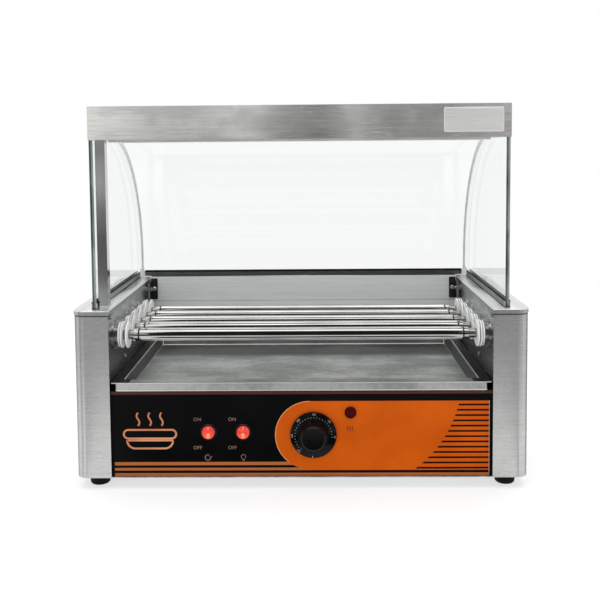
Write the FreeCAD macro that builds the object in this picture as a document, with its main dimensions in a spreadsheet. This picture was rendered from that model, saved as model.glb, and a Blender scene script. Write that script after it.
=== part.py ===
import FreeCAD, Part
import math
import os
import types

import Sketcher

# Roller grill with a glass cover: five chain-driven rollers between two end housings, a drip tray
# under them, a control panel at the front, and side glasses that carry a lamp hood.
# Millimetres, +X to the operator's right, +Y to the back, +Z up, origin under the middle of the machine.

DIMENSIONS = {
    # overall
    "width": 580,
    "depth": 289,
    "cabinet_height": 231,
    "housing_width": 48,
    "fit_gap": 0.2,
    "running_gap": 0.05,
    "motion_gap": 0.3,
    "overrun": 2,
    # base pan and its slots
    "base_sheet": 1,
    "base_slot_length": 60,
    "base_slot_width": 5,
    "base_slot_pitch": 14,
    # end housings
    "shell_sheet": 1,
    "corner_radius": 15,
    "side_sheet": 1.2,
    "cap_sheet": 1,
    "cap_lip_sheet": 0.8,
    "cap_lip": 5.5,
    "cap_bend": 0.7,
    # feet and their screws
    "foot_height": 15,
    "foot_top_radius": 14.5,
    "foot_bottom_radius": 12.5,
    "foot_edge": 1.5,
    "foot_inset_x": 26,
    "foot_inset_y": 27,
    "foot_recess_radius": 6,
    "foot_recess": 8,
    "foot_screw_radius": 2.5,
    "foot_screw_head_radius": 4.5,
    "foot_screw_head": 3.5,
    "foot_screw_tail": 6,
    # control panel
    "panel_recess": 5,
    "panel_drop": 105.8,
    "panel_sheet": 1,
    "panel_flange": 14,
    "overlay_sheet": 0.5,
    "deck_sheet": 1,
    # rocker switches
    "switch_share": 0.5266,
    "turn_switch_x": -118.5,
    "light_switch_x": -74,
    "switch_bezel_radius": 11,
    "switch_bezel": 2.2,
    "switch_bezel_edge": 0.8,
    "switch_barrel_radius": 9.8,
    "switch_barrel": 20,
    "switch_well_radius": 8.7,
    "switch_well": 9,
    "switch_blade_width": 4.8,
    "switch_blade_sheet": 0.8,
    "switch_blade": 8,
    "switch_blade_pitch": 6,
    "rocker_radius": 8.1,
    "rocker_proud": 2.4,
    "rocker_crown": 1.1,
    "rocker_pivot": 3.2,
    "rocker_skirt": 2.6,
    "rocker_tilt": 7,
    # thermostat
    "knob_x": 15.6,
    "knob_share": 0.4945,
    "knob_radius": 29.5,
    "knob_rim": 3,
    "knob_skirt": 6,
    "knob_depth": 18,
    "knob_hub_radius": 20,
    "knob_hub_top_radius": 16,
    "knob_hub_edge": 2,
    "knob_dish_radius": 9.5,
    "knob_dish": 0.8,
    "knob_flute_radius": 7,
    "knob_flute_depth": 1.6,
    "knob_gap": 0.6,
    "spindle_radius": 3,
    "spindle_grip": 10,
    "spindle_tail": 4,
    "thermostat_width": 38,
    "thermostat_body": 36,
    "thermostat_boss_radius": 8,
    "thermostat_boss": 3,
    "bulb_radius": 3,
    "bulb_length": 90,
    "bulb_drop": 28,
    "bulb_back": 70,
    "bulb_clip_width": 8,
    "bulb_clip_sheet": 1,
    # indicator lamp
    "indicator_x": 63,
    "indicator_share": 0.7555,
    "indicator_radius": 7.5,
    "indicator_lens": 4,
    "indicator_rim": 1.4,
    "indicator_barrel_radius": 5,
    "indicator_barrel": 22,
    # rear panel, brackets and inlet
    "rear_panel_inset": 18,
    "rear_panel_rise": 1.5,
    "rear_panel_sheet": 1,
    "vent_length": 50,
    "vent_width": 4,
    "vent_pitch": 9,
    "vent_bottom": 34,
    "vent_x": -120,
    "bracket_sheet": 2,
    "bracket_leg": 12,
    "bracket_height": 33,
    "gland_inset": 57,
    "gland_height": 48,
    "gland_thread_radius": 6,
    "gland_hex_radius": 10,
    "gland_hex": 5,
    "gland_nose_radius": 8,
    "gland_nose": 8,
    "gland_bore_radius": 4,
    "gland_tail": 10,
    "terminal_length": 60,
    "terminal_width": 20,
    "terminal_height": 16,
    "terminal_inset": 65,
    "terminal_back": 200,
    "terminal_notch": 7,
    # rollers
    "roller_count": 5,
    "row_front_share": 0.278,
    "roller_drop": 38,
    "tube_end_gap": 32.5,
    "tube_radius": 8.5,
    "tube_bore_radius": 7,
    "tube_edge": 0.8,
    "tube_groove": 1.5,
    "ferrule_width": 5.5,
    "ferrule_radius": 7.8,
    "neck_radius": 6.25,
    "neck_bore_radius": 4.9,
    "neck_tail": 17.8,
    "left_collar_gap": 18.2,
    "right_collar_gap": 14.6,
    "collar_sheet": 1.8,
    "collar_radius": 17.5,
    "collar_edge": 0.5,
    "collar_hub_radius": 9.5,
    "collar_hub_width": 1.2,
    "bush_reach": 11,
    "bush_flange": 4.6,
    "bush_radius": 17.5,
    "bush_edge": 0.5,
    "bush_ring": 1.6,
    "bush_groove": 1.2,
    "bush_groove_radius": 13,
    "bush_rear_radius": 16.5,
    "bush_hub_radius": 9,
    "bush_hub_tail": 4,
    "flange_radius": 18.4,
    "flange_boss_radius": 14,
    "flange_sheet": 1.5,
    # heating rods
    "heater_radius": 4,
    "heater_tail": 28.8,
    "heater_support_sheet": 1.5,
    "heater_support_gap": 21.3,
    "heater_support_height": 22,
    "heater_post_radius": 3,
    "heater_post_gap": 27,
    # chain drive
    "chain_pitch": 9.525,
    "pitches_per_roller": 4,
    "sprocket_teeth": 9,
    "sprocket_width": 5.2,
    "sprocket_tip_radius": 15.5,
    "sprocket_gap_radius": 3.55,
    "sprocket_flank_angle": 25,
    "sprocket_gap": 10.8,
    "chain_roller_radius": 3.175,
    "chain_inner_width": 5.8,
    "chain_plate": 1.2,
    "chain_plate_radius": 3.9,
    "motor_shaft_radius": 4,
    "motor_share": 0.2747,
    "motor_shaft_share": 0.672,
    "motor_length": 58,
    "motor_offset": 10,
    "motor_boss_radius": 11,
    "motor_boss": 4,
    "motor_bracket_sheet": 2,
    "motor_bracket_gap": 5,
    "motor_post_radius": 4,
    "motor_post_gap": 2,
    "motor_tail_radius": 22,
    "motor_tail": 6,
    # drip tray and its runners
    "tray_rim_rise": 11.8,
    "tray_sheet": 0.8,
    "tray_side_gap": 1.5,
    "tray_front": 3.5,
    "tray_rear_gap": 4,
    "tray_flange": 13,
    "tray_front_flange": 17,
    "tray_slope": 9,
    "tray_sink": 9,
    "tray_skirt": 10.2,
    "tray_skirt_inset": 3.2,
    "tray_skirt_back": 1.2,
    "tray_skirt_return": 15,
    "tray_skirt_radius": 5,
    "runner_sheet": 1.2,
    "runner_leg": 11,
    "runner_drop": 9,
    "runner_start": 24,
    # glass and its channels
    "glass_sheet": 5,
    "side_glass_inset": 24.5,
    "glass_front": 14.5,
    "curve_rise": 29,
    "curve_top_gap": 32,
    "curve_rear": 2.5,
    "curve_top_back": 104,
    "channel_sheet": 1,
    "channel_height": 9,
    "channel_front": 13.5,
    "rear_channel_height": 8.5,
    "rear_channel_gap": 0.5,
    "bead": 6,
    "bead_height": 12,
    "seam": 5,
    # hood, lamp and conduit post
    "hood_front": 13.5,
    "hood_depth": 114.5,
    "cover_height": 258,
    "fascia": 42.4,
    "hood_sheet": 0.8,
    "lamp_tray_gap": 17.5,
    "lamp_tray_front": 24,
    "lamp_tray_rear": 100,
    "lamp_tray_slope": 10,
    "lamp_tray_drop": 44.4,
    "lamp_tray_sheet": 0.8,
    "lamp_radius": 8,
    "lamp_end_gap": 38,
    "lamp_cap": 10,
    "lamp_cap_radius": 8.6,
    "lamp_drop": 27,
    "lamp_holder": 9,
    "lamp_holder_width": 26,
    "lamp_holder_below": 12,
    "post_size": 12.5,
    "post_sheet": 1,
    "post_front": 19,
    # cabinet screws
    "screw_radius": 2,
    "screw_head_radius": 3.5,
    "screw_head": 2.2,
    "screw_edge": 0.8,
    "screw_tail": 7,
    "side_screw_top": 9.4,
    "side_screw_drop": 78,
    "side_screw_end": 12.6,
    "side_screw_front": 86,
    "side_screw_rear": 205,
}

doc = FreeCAD.newDocument("roller_grill")
sheet = doc.addObject("Spreadsheet::Sheet", "dims")
for row, (alias, number) in enumerate(DIMENSIONS.items(), start=1):
    sheet.set(f"A{row}", alias)
    sheet.set(f"B{row}", str(number))
    sheet.setAlias(f"B{row}", alias)
doc.recompute()


class Size:
    """A size that carries both its number and the sheet expression that drives it."""

    def __init__(self, text, number):
        self.text = text
        self.number = number

    def joined(self, sign, other, number):
        return Size(f"({self.text} {sign} {other.text})", number)

    def __add__(self, other):
        other = size(other)
        return self.joined("+", other, self.number + other.number)

    def __sub__(self, other):
        other = size(other)
        return self.joined("-", other, self.number - other.number)

    def __mul__(self, other):
        other = size(other)
        return self.joined("*", other, self.number * other.number)

    def __truediv__(self, other):
        other = size(other)
        return self.joined("/", other, self.number / other.number)

    def __neg__(self):
        return Size(f"(0 - {self.text})", -self.number)

    def __radd__(self, other):
        return size(other) + self

    def __rsub__(self, other):
        return size(other) - self

    def __rmul__(self, other):
        return size(other) * self

    def __rtruediv__(self, other):
        return size(other) / self


def size(value):
    return value if isinstance(value, Size) else Size(repr(value), value)


def root(square):
    return Size(f"sqrt({square.text})", math.sqrt(square.number))


def nearest(value):
    return Size(f"floor({value.text} + 0.5)", math.floor(value.number + 0.5))


def sine(angle):
    return Size(f"sin({angle.text})", math.sin(math.radians(angle.number)))


def cosine(angle):
    return Size(f"cos({angle.text})", math.cos(math.radians(angle.number)))


d = types.SimpleNamespace(**{alias: Size(f"dims.{alias}", sheet.get(alias)) for alias in DIMENSIONS})

# Planes and places that several sub-parts share
knob_proud = d.knob_gap + d.knob_depth - d.panel_recess
front = (knob_proud - d.depth) / 2
rear = front + d.depth
half_width = d.width / 2
base_top = d.foot_height + d.base_sheet
cap_under = d.cabinet_height - d.cap_sheet
lip_room = d.cap_lip_sheet + d.fit_gap
side_inner = half_width - d.housing_width + lip_room
side_outer = side_inner + d.side_sheet
shell_outer = half_width - lip_room
shell_front = front + lip_room
shell_rear = rear - lip_room
overlay_front = front + d.panel_recess
panel_front = overlay_front + d.overlay_sheet
panel_back = panel_front + d.panel_sheet
panel_top = d.cabinet_height - d.panel_drop
panel_height = panel_top - base_top
switch_z = base_top + panel_height * d.switch_share
knob_z = base_top + panel_height * d.knob_share
indicator_z = base_top + panel_height * d.indicator_share
deck_top = panel_top + d.deck_sheet
rear_panel_top = d.cabinet_height + d.rear_panel_rise
roller_z = d.cabinet_height - d.roller_drop
rear_panel_front = rear - d.rear_panel_inset
rear_panel_back = rear_panel_front + d.rear_panel_sheet
roller_pitch = d.chain_pitch * d.pitches_per_roller
row_length = roller_pitch * (d.roller_count - 1)
first_roller_y = front + (d.depth - row_length) * d.row_front_share
last_roller_y = first_roller_y + row_length
sprocket_x = side_outer + d.sprocket_gap
neck_end = side_outer + d.neck_tail
glass_outer = half_width - d.side_glass_inset
glass_inner = glass_outer - d.glass_sheet
hood_top = d.cabinet_height + d.cover_height
hood_under = hood_top - d.hood_sheet
hood_back = front + d.hood_front + d.hood_depth
curve_rear = rear - d.curve_rear
curve_radius = d.cover_height - d.curve_rise - d.curve_top_gap
curve_centre = curve_rear - curve_radius
curve_z = d.cabinet_height + d.curve_rise

nodes = {}


def node(label, shape):
    """Name a finished sub-part; its label is its file's name."""
    shape.Label = label
    nodes[label] = shape
    return shape


def bind(target, prop, value):
    target.setExpression(prop, size(value).text)


def place(target, x, y, z):
    for axis, value in zip("xyz", (x, y, z)):
        bind(target, f"Placement.Base.{axis}", value)


def block(x, y, z):
    """Block that reaches from the first to the second value on each axis."""
    made = doc.addObject("Part::Box", "block")
    for prop, span in zip(("Length", "Width", "Height"), (x, y, z)):
        bind(made, prop, span[1] - span[0])
    place(made, x[0], y[0], z[0])
    return made


AXIS_TURNS = {
    "x": FreeCAD.Rotation(FreeCAD.Vector(0, 1, 0), 90),
    "y": FreeCAD.Rotation(FreeCAD.Vector(1, 0, 0), -90),
    "z": FreeCAD.Rotation(),
}


def rod(axis, radius, span, centre):
    """Round bar along an axis; centre gives its place on the other two axes, in x, y, z order."""
    made = doc.addObject("Part::Cylinder", "rod")
    made.Placement.Rotation = AXIS_TURNS[axis]
    bind(made, "Radius", radius)
    bind(made, "Height", span[1] - span[0])
    spot = list(centre)
    spot.insert("xyz".index(axis), span[0])
    place(made, *spot)
    return made


def fuse(*shapes):
    made = doc.addObject("Part::MultiFuse", "fused")
    made.Shapes = list(shapes)
    made.Refine = True
    return made


def group(*shapes):
    made = doc.addObject("Part::Compound", "group")
    made.Links = list(shapes)
    return made


def cut(base, *tools):
    made = doc.addObject("Part::Cut", "cut")
    made.Base = base
    made.Tool = tools[0] if len(tools) == 1 else group(*tools)
    return made


def mirror(source, normal=(1, 0, 0), y=0):
    """Copy on the other side of the middle plane across x, or of a plane across y."""
    made = doc.addObject("Part::Mirroring", "mirror")
    made.Source = source
    made.Normal = FreeCAD.Vector(*normal)
    bind(made, "Base.y", y)
    return made


def both_sides(shape):
    return group(shape, mirror(shape))


LEFT_TURN = 1
RIGHT_TURN = -1


def outline(sketch, corners):
    """Closed outline; a corner is (x, y), or (x, y, radius, turn) where an arc leads to the next one."""
    spots = [FreeCAD.Vector(size(c[0]).number, size(c[1]).number, 0) for c in corners]
    first = sketch.GeometryCount
    starts = []
    ends = []
    for index, corner in enumerate(corners):
        a = spots[index]
        b = spots[(index + 1) % len(spots)]
        if len(corner) == 2:
            sketch.addGeometry(Part.LineSegment(a, b))
            starts.append(1)
            ends.append(2)
            continue
        radius, turn = corner[2].number, corner[3]
        chord = b - a
        side = FreeCAD.Vector(-chord.y, chord.x, 0).normalize() * turn
        height = math.sqrt(max(radius ** 2 - (chord.Length / 2) ** 2, 0))
        middle = (a + b) / 2 - side * (radius - height)
        sketch.addGeometry(Part.Arc(a, middle, b))
        starts.append(1 if turn == LEFT_TURN else 2)
        ends.append(2 if turn == LEFT_TURN else 1)
    for index, corner in enumerate(corners):
        here = first + index
        there = first + (index + 1) % len(corners)
        sketch.addConstraint(Sketcher.Constraint("Coincident", here, ends[index], there, starts[there - first]))
    for index, corner in enumerate(corners):
        for kind, value in zip(("DistanceX", "DistanceY"), corner[:2]):
            made = Sketcher.Constraint(kind, -1, 1, first + index, starts[index], size(value).number)
            number = sketch.addConstraint(made)
            sketch.setExpression(f"Constraints[{number}]", size(value).text)
        if len(corner) > 2:
            number = sketch.addConstraint(Sketcher.Constraint("Radius", first + index, corner[2].number))
            sketch.setExpression(f"Constraints[{number}]", corner[2].text)


def origin_feature(body, role):
    return next(f for f in body.Origin.OriginFeatures if f.Role == role)


def new_body(label):
    body = doc.addObject("PartDesign::Body", label)
    body.AllowCompound = True
    return body


def new_sketch(body, plane, offset=(0, 0, 0)):
    """Sketch on a plane of the body's own origin, moved by an offset along the sketch's own axes."""
    sketch = body.newObject("Sketcher::SketchObject", "sketch")
    sketch.AttachmentSupport = [(origin_feature(body, plane), "")]
    sketch.MapMode = "FlatFace"
    for axis, value in zip("xyz", offset):
        bind(sketch, f"AttachmentOffset.Base.{axis}", value)
    return sketch


def padded(body, plane, corners, span):
    """Outline on a plane, padded over a span of the axis across it."""
    low, high = span
    along = {"YZ_Plane": low, "XY_Plane": low, "XZ_Plane": -size(high)}[plane]
    sketch = new_sketch(body, plane, (0, 0, along))
    outline(sketch, corners)
    pad = body.newObject("PartDesign::Pad", "pad")
    pad.Profile = sketch
    bind(pad, "Length", high - low)
    return pad


def prism(plane, corners, span):
    body = new_body("prism")
    padded(body, plane, corners, span)
    return body


TURNING = {
    "x": ("XZ_Plane", "H_Axis"),
    "y": ("YZ_Plane", "H_Axis"),
    "z": ("XZ_Plane", "V_Axis"),
}


def revolved(body, axis, corners):
    """Profile turned about an axis through the body's origin: (along, radius), or (radius, along) on z."""
    plane, line = TURNING[axis]
    sketch = new_sketch(body, plane)
    outline(sketch, corners)
    turn = body.newObject("PartDesign::Revolution", "turn")
    turn.Profile = sketch
    turn.ReferenceAxis = (sketch, [line])
    return turn


def turned(axis, corners, at):
    body = new_body("turned")
    revolved(body, axis, corners)
    place(body, *at)
    return body


def repeated_along_y(body, feature, pitch, count):
    pattern = body.newObject("PartDesign::LinearPattern", "row")
    pattern.Originals = [feature]
    pattern.Direction = (origin_feature(body, "Y_Axis"), [""])
    bind(pattern, "Length", pitch * (count - 1))
    bind(pattern, "Occurrences", count)
    body.Tip = pattern
    return pattern


def repeated_around(body, feature, axis, count):
    pattern = body.newObject("PartDesign::PolarPattern", "ring")
    pattern.Originals = [feature]
    pattern.Axis = (origin_feature(body, axis), [""])
    pattern.Angle = 360
    bind(pattern, "Occurrences", count)
    body.Tip = pattern
    return pattern


def through(body, plane, corners):
    """Outline cut right through the body, both ways from the plane."""
    sketch = new_sketch(body, plane)
    outline(sketch, corners)
    pocket = body.newObject("PartDesign::Pocket", "pocket")
    pocket.Profile = sketch
    pocket.Type = "ThroughAll"
    pocket.Midplane = True
    return pocket


def screw(axis, head_start, direction, centre):
    """Pan-head screw: the head stands out of its seat along the direction and the shank goes in behind it."""
    tip = -direction * d.screw_tail
    top = direction * d.screw_head
    edge = direction * (d.screw_head - d.screw_edge)
    profile = [
        (tip, 0),
        (top, 0),
        (top, d.screw_head_radius - d.screw_edge),
        (edge, d.screw_head_radius),
        (0, d.screw_head_radius),
        (0, d.screw_radius),
        (tip, d.screw_radius),
    ]
    spot = list(centre)
    spot.insert("xyz".index(axis), head_start)
    return turned(axis, profile, spot)


# Base pan: flat sheet with rounded corners that fits inside the housing shells, slotted for air
pan_x = shell_outer - d.shell_sheet
pan_front = shell_front + d.shell_sheet
pan_rear = shell_rear - d.shell_sheet
pan_radius = d.corner_radius - d.shell_sheet
base_plate = prism("XY_Plane", [
    (pan_radius - pan_x, pan_front),
    (pan_x - pan_radius, pan_front, pan_radius, LEFT_TURN),
    (pan_x, pan_front + pan_radius),
    (pan_x, pan_rear - pan_radius, pan_radius, LEFT_TURN),
    (pan_x - pan_radius, pan_rear),
    (pan_radius - pan_x, pan_rear, pan_radius, LEFT_TURN),
    (-pan_x, pan_rear - pan_radius),
    (-pan_x, pan_front + pan_radius, pan_radius, LEFT_TURN),
], (d.foot_height, base_top))
BASE_SLOT_ROWS = (-2, -1, 0, 1, 2)
pan_middle = (pan_front + pan_rear) / 2
base_slots = []
for step in BASE_SLOT_ROWS:
    middle = pan_middle + d.base_slot_pitch * step
    base_slots.append(block(
        (-d.base_slot_length / 2, d.base_slot_length / 2),
        (middle - d.base_slot_width / 2, middle + d.base_slot_width / 2),
        (d.foot_height - d.overrun, base_top + d.overrun)))
node("base_pan", cut(base_plate, *base_slots))

# Rubber feet: tapered pads with a recess that hides the screw
foot_x = d.foot_inset_x - half_width
foot_y = front + d.foot_inset_y
foot = turned("z", [
    (d.foot_recess_radius, 0),
    (d.foot_bottom_radius - d.foot_edge, 0),
    (d.foot_bottom_radius, d.foot_edge),
    (d.foot_top_radius, d.foot_height),
    (d.foot_screw_radius, d.foot_height),
    (d.foot_screw_radius, d.foot_recess),
    (d.foot_recess_radius, d.foot_recess),
], (foot_x, foot_y, 0))
foot_screw = turned("z", [
    (0, d.foot_recess - d.foot_screw_head),
    (d.foot_screw_head_radius, d.foot_recess - d.foot_screw_head),
    (d.foot_screw_head_radius, d.foot_recess),
    (d.foot_screw_radius, d.foot_recess),
    (d.foot_screw_radius, base_top + d.foot_screw_tail),
    (0, base_top + d.foot_screw_tail),
], (foot_x, foot_y, 0))


def four_corners(shape):
    pair = both_sides(shape)
    return group(pair, mirror(pair, (0, 1, 0), (front + rear) / 2))


node("rubber_feet", four_corners(foot))
screw_holes = four_corners(rod("z", d.foot_screw_radius, (d.foot_height - d.overrun, base_top + d.overrun),
                               (foot_x, foot_y)))
node("base_pan", cut(nodes["base_pan"], screw_holes))
node("foot_screws", four_corners(foot_screw))

# Housing shells: one sheet wrapped round the front, the outer side and the back of each end
shell_inner_radius = d.corner_radius - d.shell_sheet
shell = prism("XY_Plane", [
    (-side_inner, shell_front),
    (-side_inner, shell_front + d.shell_sheet),
    (d.corner_radius - shell_outer, shell_front + d.shell_sheet, shell_inner_radius, RIGHT_TURN),
    (d.shell_sheet - shell_outer, shell_front + d.corner_radius),
    (d.shell_sheet - shell_outer, shell_rear - d.corner_radius, shell_inner_radius, RIGHT_TURN),
    (d.corner_radius - shell_outer, shell_rear - d.shell_sheet),
    (-side_inner, shell_rear - d.shell_sheet),
    (-side_inner, shell_rear),
    (d.corner_radius - shell_outer, shell_rear, d.corner_radius, LEFT_TURN),
    (-shell_outer, shell_rear - d.corner_radius),
    (-shell_outer, shell_front + d.corner_radius, d.corner_radius, LEFT_TURN),
    (d.corner_radius - shell_outer, shell_front),
], (d.foot_height, cap_under))
node("left_housing_shell", shell)
node("right_housing_shell", mirror(shell))


# Housing caps: shallow lids with a lip folded down on all four sides
def cap_outline(inset, radius):
    outer = half_width - inset
    inner = half_width - d.housing_width + inset
    return [
        (radius - outer, front + inset),
        (-inner, front + inset),
        (-inner, rear - inset),
        (radius - outer, rear - inset, radius, LEFT_TURN),
        (-outer, rear - inset - radius),
        (-outer, front + inset + radius, radius, LEFT_TURN),
    ]


cap_radius = d.corner_radius + lip_room
cap_body = new_body("cap")
cap_top = padded(cap_body, "XY_Plane", cap_outline(size(0), cap_radius),
                 (d.cabinet_height - d.cap_lip, d.cabinet_height))
doc.recompute()
top_edges = []
for number, edge in enumerate(cap_top.Shape.Edges, start=1):
    box = edge.BoundBox
    if min(box.ZMin, box.ZMax) > d.cabinet_height.number - d.cap_sheet.number / 2:
        top_edges.append(f"Edge{number}")
cap_bend = cap_body.newObject("PartDesign::Fillet", "bend")
cap_bend.Base = (cap_top, top_edges)
bind(cap_bend, "Radius", d.cap_bend)
cap_hollow = new_sketch(cap_body, "XY_Plane", (0, 0, cap_under))
outline(cap_hollow, cap_outline(d.cap_lip_sheet, cap_radius - d.cap_lip_sheet))
hollow = cap_body.newObject("PartDesign::Pocket", "hollow")
hollow.Profile = cap_hollow
bind(hollow, "Length", d.cap_lip)
node("left_housing_cap", cap_body)
node("right_housing_cap", mirror(cap_body))


# Side plates: inner walls of the housings, drilled for the roller bushes
def roller_y(index):
    return first_roller_y + roller_pitch * index


ROLLERS = range(int(d.roller_count.number))
plate_front = shell_front + d.shell_sheet
plate_rear = shell_rear - d.shell_sheet
side_screw_high = d.cabinet_height - d.side_screw_top
side_screw_low = d.cabinet_height - d.side_screw_drop
side_screw_spots = [
    (front + d.side_screw_end, side_screw_high),
    (rear - d.side_screw_end, side_screw_high),
    (front + d.side_screw_front, side_screw_low),
    (front + d.side_screw_rear, side_screw_low),
]
plate_span = (-side_outer, -side_inner)
hole_span = (-side_outer - d.overrun, -side_inner + d.overrun)
side_plate = block(plate_span, (plate_front, plate_rear), (base_top, cap_under))
plate_holes = [rod("x", d.bush_hub_radius, hole_span, (roller_y(i), roller_z)) for i in ROLLERS]
plate_holes += [rod("x", d.screw_radius, hole_span, spot) for spot in side_screw_spots]
bracket_low = cap_under - d.bracket_height
bracket_middle = bracket_low + d.bracket_height / 2
bracket_back = rear_panel_front - d.bracket_sheet
bracket_screw_y = rear_panel_front - (d.bracket_leg + d.bracket_sheet) / 2
plate_holes.append(rod("x", d.screw_radius, hole_span, (bracket_screw_y, bracket_middle)))
side_plate = cut(side_plate, *plate_holes)
node("left_side_plate", side_plate)

# Places of the chain drive: the drive sprocket hangs under the middle of the row of rollers, as near
# to its wished place as an even number of links lets it
sprocket_radius = d.chain_pitch / (2 * sine(180 / d.sprocket_teeth))
shaft_drop = roller_z - base_top - panel_height * d.motor_shaft_share
wished_run = root(shaft_drop * shaft_drop + row_length * row_length / 4)
chain_links = 2 * nearest(((2 * wished_run + row_length) / d.chain_pitch + d.sprocket_teeth) / 2)
slack_run = (d.chain_pitch * (chain_links - d.sprocket_teeth) - row_length) / 2
drive_drop = root(slack_run * slack_run - row_length * row_length / 4)
drive_y = first_roller_y + row_length / 2
drive_z = roller_z - drive_drop
shaft_hole = rod("x", d.motor_boss_radius, (side_inner - d.overrun, side_outer + d.overrun), (drive_y, drive_z))
node("right_side_plate", cut(mirror(side_plate), shaft_hole))


# Rollers: steel tubes that step down to hollow necks with a ferrule, and a sprocket on the right-hand neck
def tooth_gap(body):
    """Gap between two teeth: a round seat at the pitch circle that opens outwards along straight flanks."""
    reach = d.sprocket_tip_radius - sprocket_radius + d.overrun + d.sprocket_gap_radius
    seat_y = d.sprocket_gap_radius * cosine(d.sprocket_flank_angle)
    seat_z = sprocket_radius - d.sprocket_gap_radius * sine(d.sprocket_flank_angle)
    mouth_y = seat_y + reach * sine(d.sprocket_flank_angle)
    mouth_z = seat_z + reach * cosine(d.sprocket_flank_angle)
    return through(body, "YZ_Plane", [
        (-seat_y, seat_z, d.sprocket_gap_radius, LEFT_TURN),
        (seat_y, seat_z),
        (mouth_y, mouth_z),
        (-mouth_y, mouth_z),
    ])


sprocket_start = sprocket_x - d.sprocket_width / 2
sprocket_end = sprocket_x + d.sprocket_width / 2
tube_half = side_inner - d.tube_end_gap
ferrule_start = tube_half + d.tube_groove
ferrule_end = ferrule_start + d.ferrule_width
bore_end = tube_half - (d.tube_radius - d.tube_bore_radius)


def roller_tube(index):
    body = new_body(f"roller_{index + 1}_tube")
    revolved(body, "x", [
        (-neck_end, d.neck_bore_radius),
        (-bore_end, d.neck_bore_radius),
        (-bore_end, d.tube_bore_radius),
        (bore_end, d.tube_bore_radius),
        (bore_end, d.neck_bore_radius),
        (neck_end, d.neck_bore_radius),
        (neck_end, d.neck_radius),
        (sprocket_end, d.neck_radius),
        (sprocket_end, d.sprocket_tip_radius),
        (sprocket_start, d.sprocket_tip_radius),
        (sprocket_start, d.neck_radius),
        (ferrule_end, d.neck_radius),
        (ferrule_end, d.ferrule_radius),
        (ferrule_start, d.ferrule_radius),
        (ferrule_start, d.neck_radius),
        (tube_half, d.neck_radius),
        (tube_half, d.tube_radius - d.tube_edge),
        (tube_half - d.tube_edge, d.tube_radius),
        (d.tube_edge - tube_half, d.tube_radius),
        (-tube_half, d.tube_radius - d.tube_edge),
        (-tube_half, d.neck_radius),
        (-ferrule_start, d.neck_radius),
        (-ferrule_start, d.ferrule_radius),
        (-ferrule_end, d.ferrule_radius),
        (-ferrule_end, d.neck_radius),
        (-neck_end, d.neck_radius),
    ])
    repeated_around(body, tooth_gap(body), "X_Axis", d.sprocket_teeth)
    place(body, 0, roller_y(index), roller_z)
    return body


def roller_collar(index, gap):
    """Thin disc with a short hub towards the bush, on the right-hand neck."""
    start = side_inner - gap
    face_end = start + d.collar_sheet
    end = face_end + d.collar_hub_width
    return turned("x", [
        (start, d.neck_radius),
        (end, d.neck_radius),
        (end, d.collar_hub_radius),
        (face_end, d.collar_hub_radius),
        (face_end, d.collar_radius - d.collar_edge),
        (face_end - d.collar_edge, d.collar_radius),
        (start + d.collar_edge, d.collar_radius),
        (start, d.collar_radius - d.collar_edge),
    ], (0, roller_y(index), roller_z))


def roller_collars(index):
    """Pair of collars: the one on the left stands further from its bush, as the roller has end play."""
    return group(roller_collar(index, d.right_collar_gap), mirror(roller_collar(index, d.left_collar_gap)))


for i in ROLLERS:
    node(f"roller_{i + 1}_tube", roller_tube(i))
    node(f"roller_{i + 1}_collars", roller_collars(i))


# Bushes, their steel flanges and the heating rods: one of each, repeated along the row of rollers
def roller_row(corners):
    body = new_body("row")
    first = revolved(body, "x", corners)
    repeated_along_y(body, first, roller_pitch, d.roller_count)
    place(body, 0, first_roller_y, roller_z)
    return body


bush_bore = d.neck_radius + d.running_gap
bush_start = side_inner - d.bush_reach
bush_ring_end = bush_start + d.bush_ring
bush_groove_end = bush_ring_end + d.bush_groove
bush_flange_end = bush_start + d.bush_flange
bush_end = side_outer + d.bush_hub_tail
node("roller_bushes", both_sides(roller_row([
    (bush_start, bush_bore),
    (bush_end, bush_bore),
    (bush_end, d.bush_hub_radius),
    (bush_flange_end, d.bush_hub_radius),
    (bush_flange_end, d.bush_rear_radius),
    (bush_groove_end, d.bush_rear_radius),
    (bush_groove_end, d.bush_groove_radius),
    (bush_ring_end, d.bush_groove_radius),
    (bush_ring_end, d.bush_radius - d.bush_edge),
    (bush_ring_end - d.bush_edge, d.bush_radius),
    (bush_start + d.bush_edge, d.bush_radius),
    (bush_start, d.bush_radius - d.bush_edge),
])))
node("bearing_flanges", both_sides(roller_row([
    (bush_flange_end, d.bush_hub_radius),
    (side_inner, d.bush_hub_radius),
    (side_inner, d.flange_radius),
    (side_inner - d.flange_sheet, d.flange_radius),
    (side_inner - d.flange_sheet, d.flange_boss_radius),
    (bush_flange_end, d.flange_boss_radius),
])))
heater_end = side_outer + d.heater_tail
node("heating_elements", roller_row([
    (-heater_end, 0),
    (heater_end, 0),
    (heater_end, d.heater_radius),
    (-heater_end, d.heater_radius),
]))

# Heater supports: drilled strips on two posts at the outer end of each row of heating rods
support_start = side_outer + d.heater_support_gap
support_end = support_start + d.heater_support_sheet
support_ends = (first_roller_y - d.heater_post_gap, last_roller_y + d.heater_post_gap)
support_low = roller_z - d.heater_support_height / 2
support_strip = block(
    (support_start, support_end),
    (support_ends[0] - d.heater_post_radius, support_ends[1] + d.heater_post_radius),
    (support_low, support_low + d.heater_support_height))
support_posts = []
for post_y in support_ends:
    support_posts.append(rod("x", d.heater_post_radius, (side_outer, support_start), (post_y, roller_z)))
support_holes = []
for i in ROLLERS:
    support_holes.append(rod("x", d.heater_radius,
                             (support_start - d.overrun, support_end + d.overrun),
                             (roller_y(i), roller_z)))
node("heater_supports", both_sides(cut(fuse(support_strip, *support_posts), *support_holes)))

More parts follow.
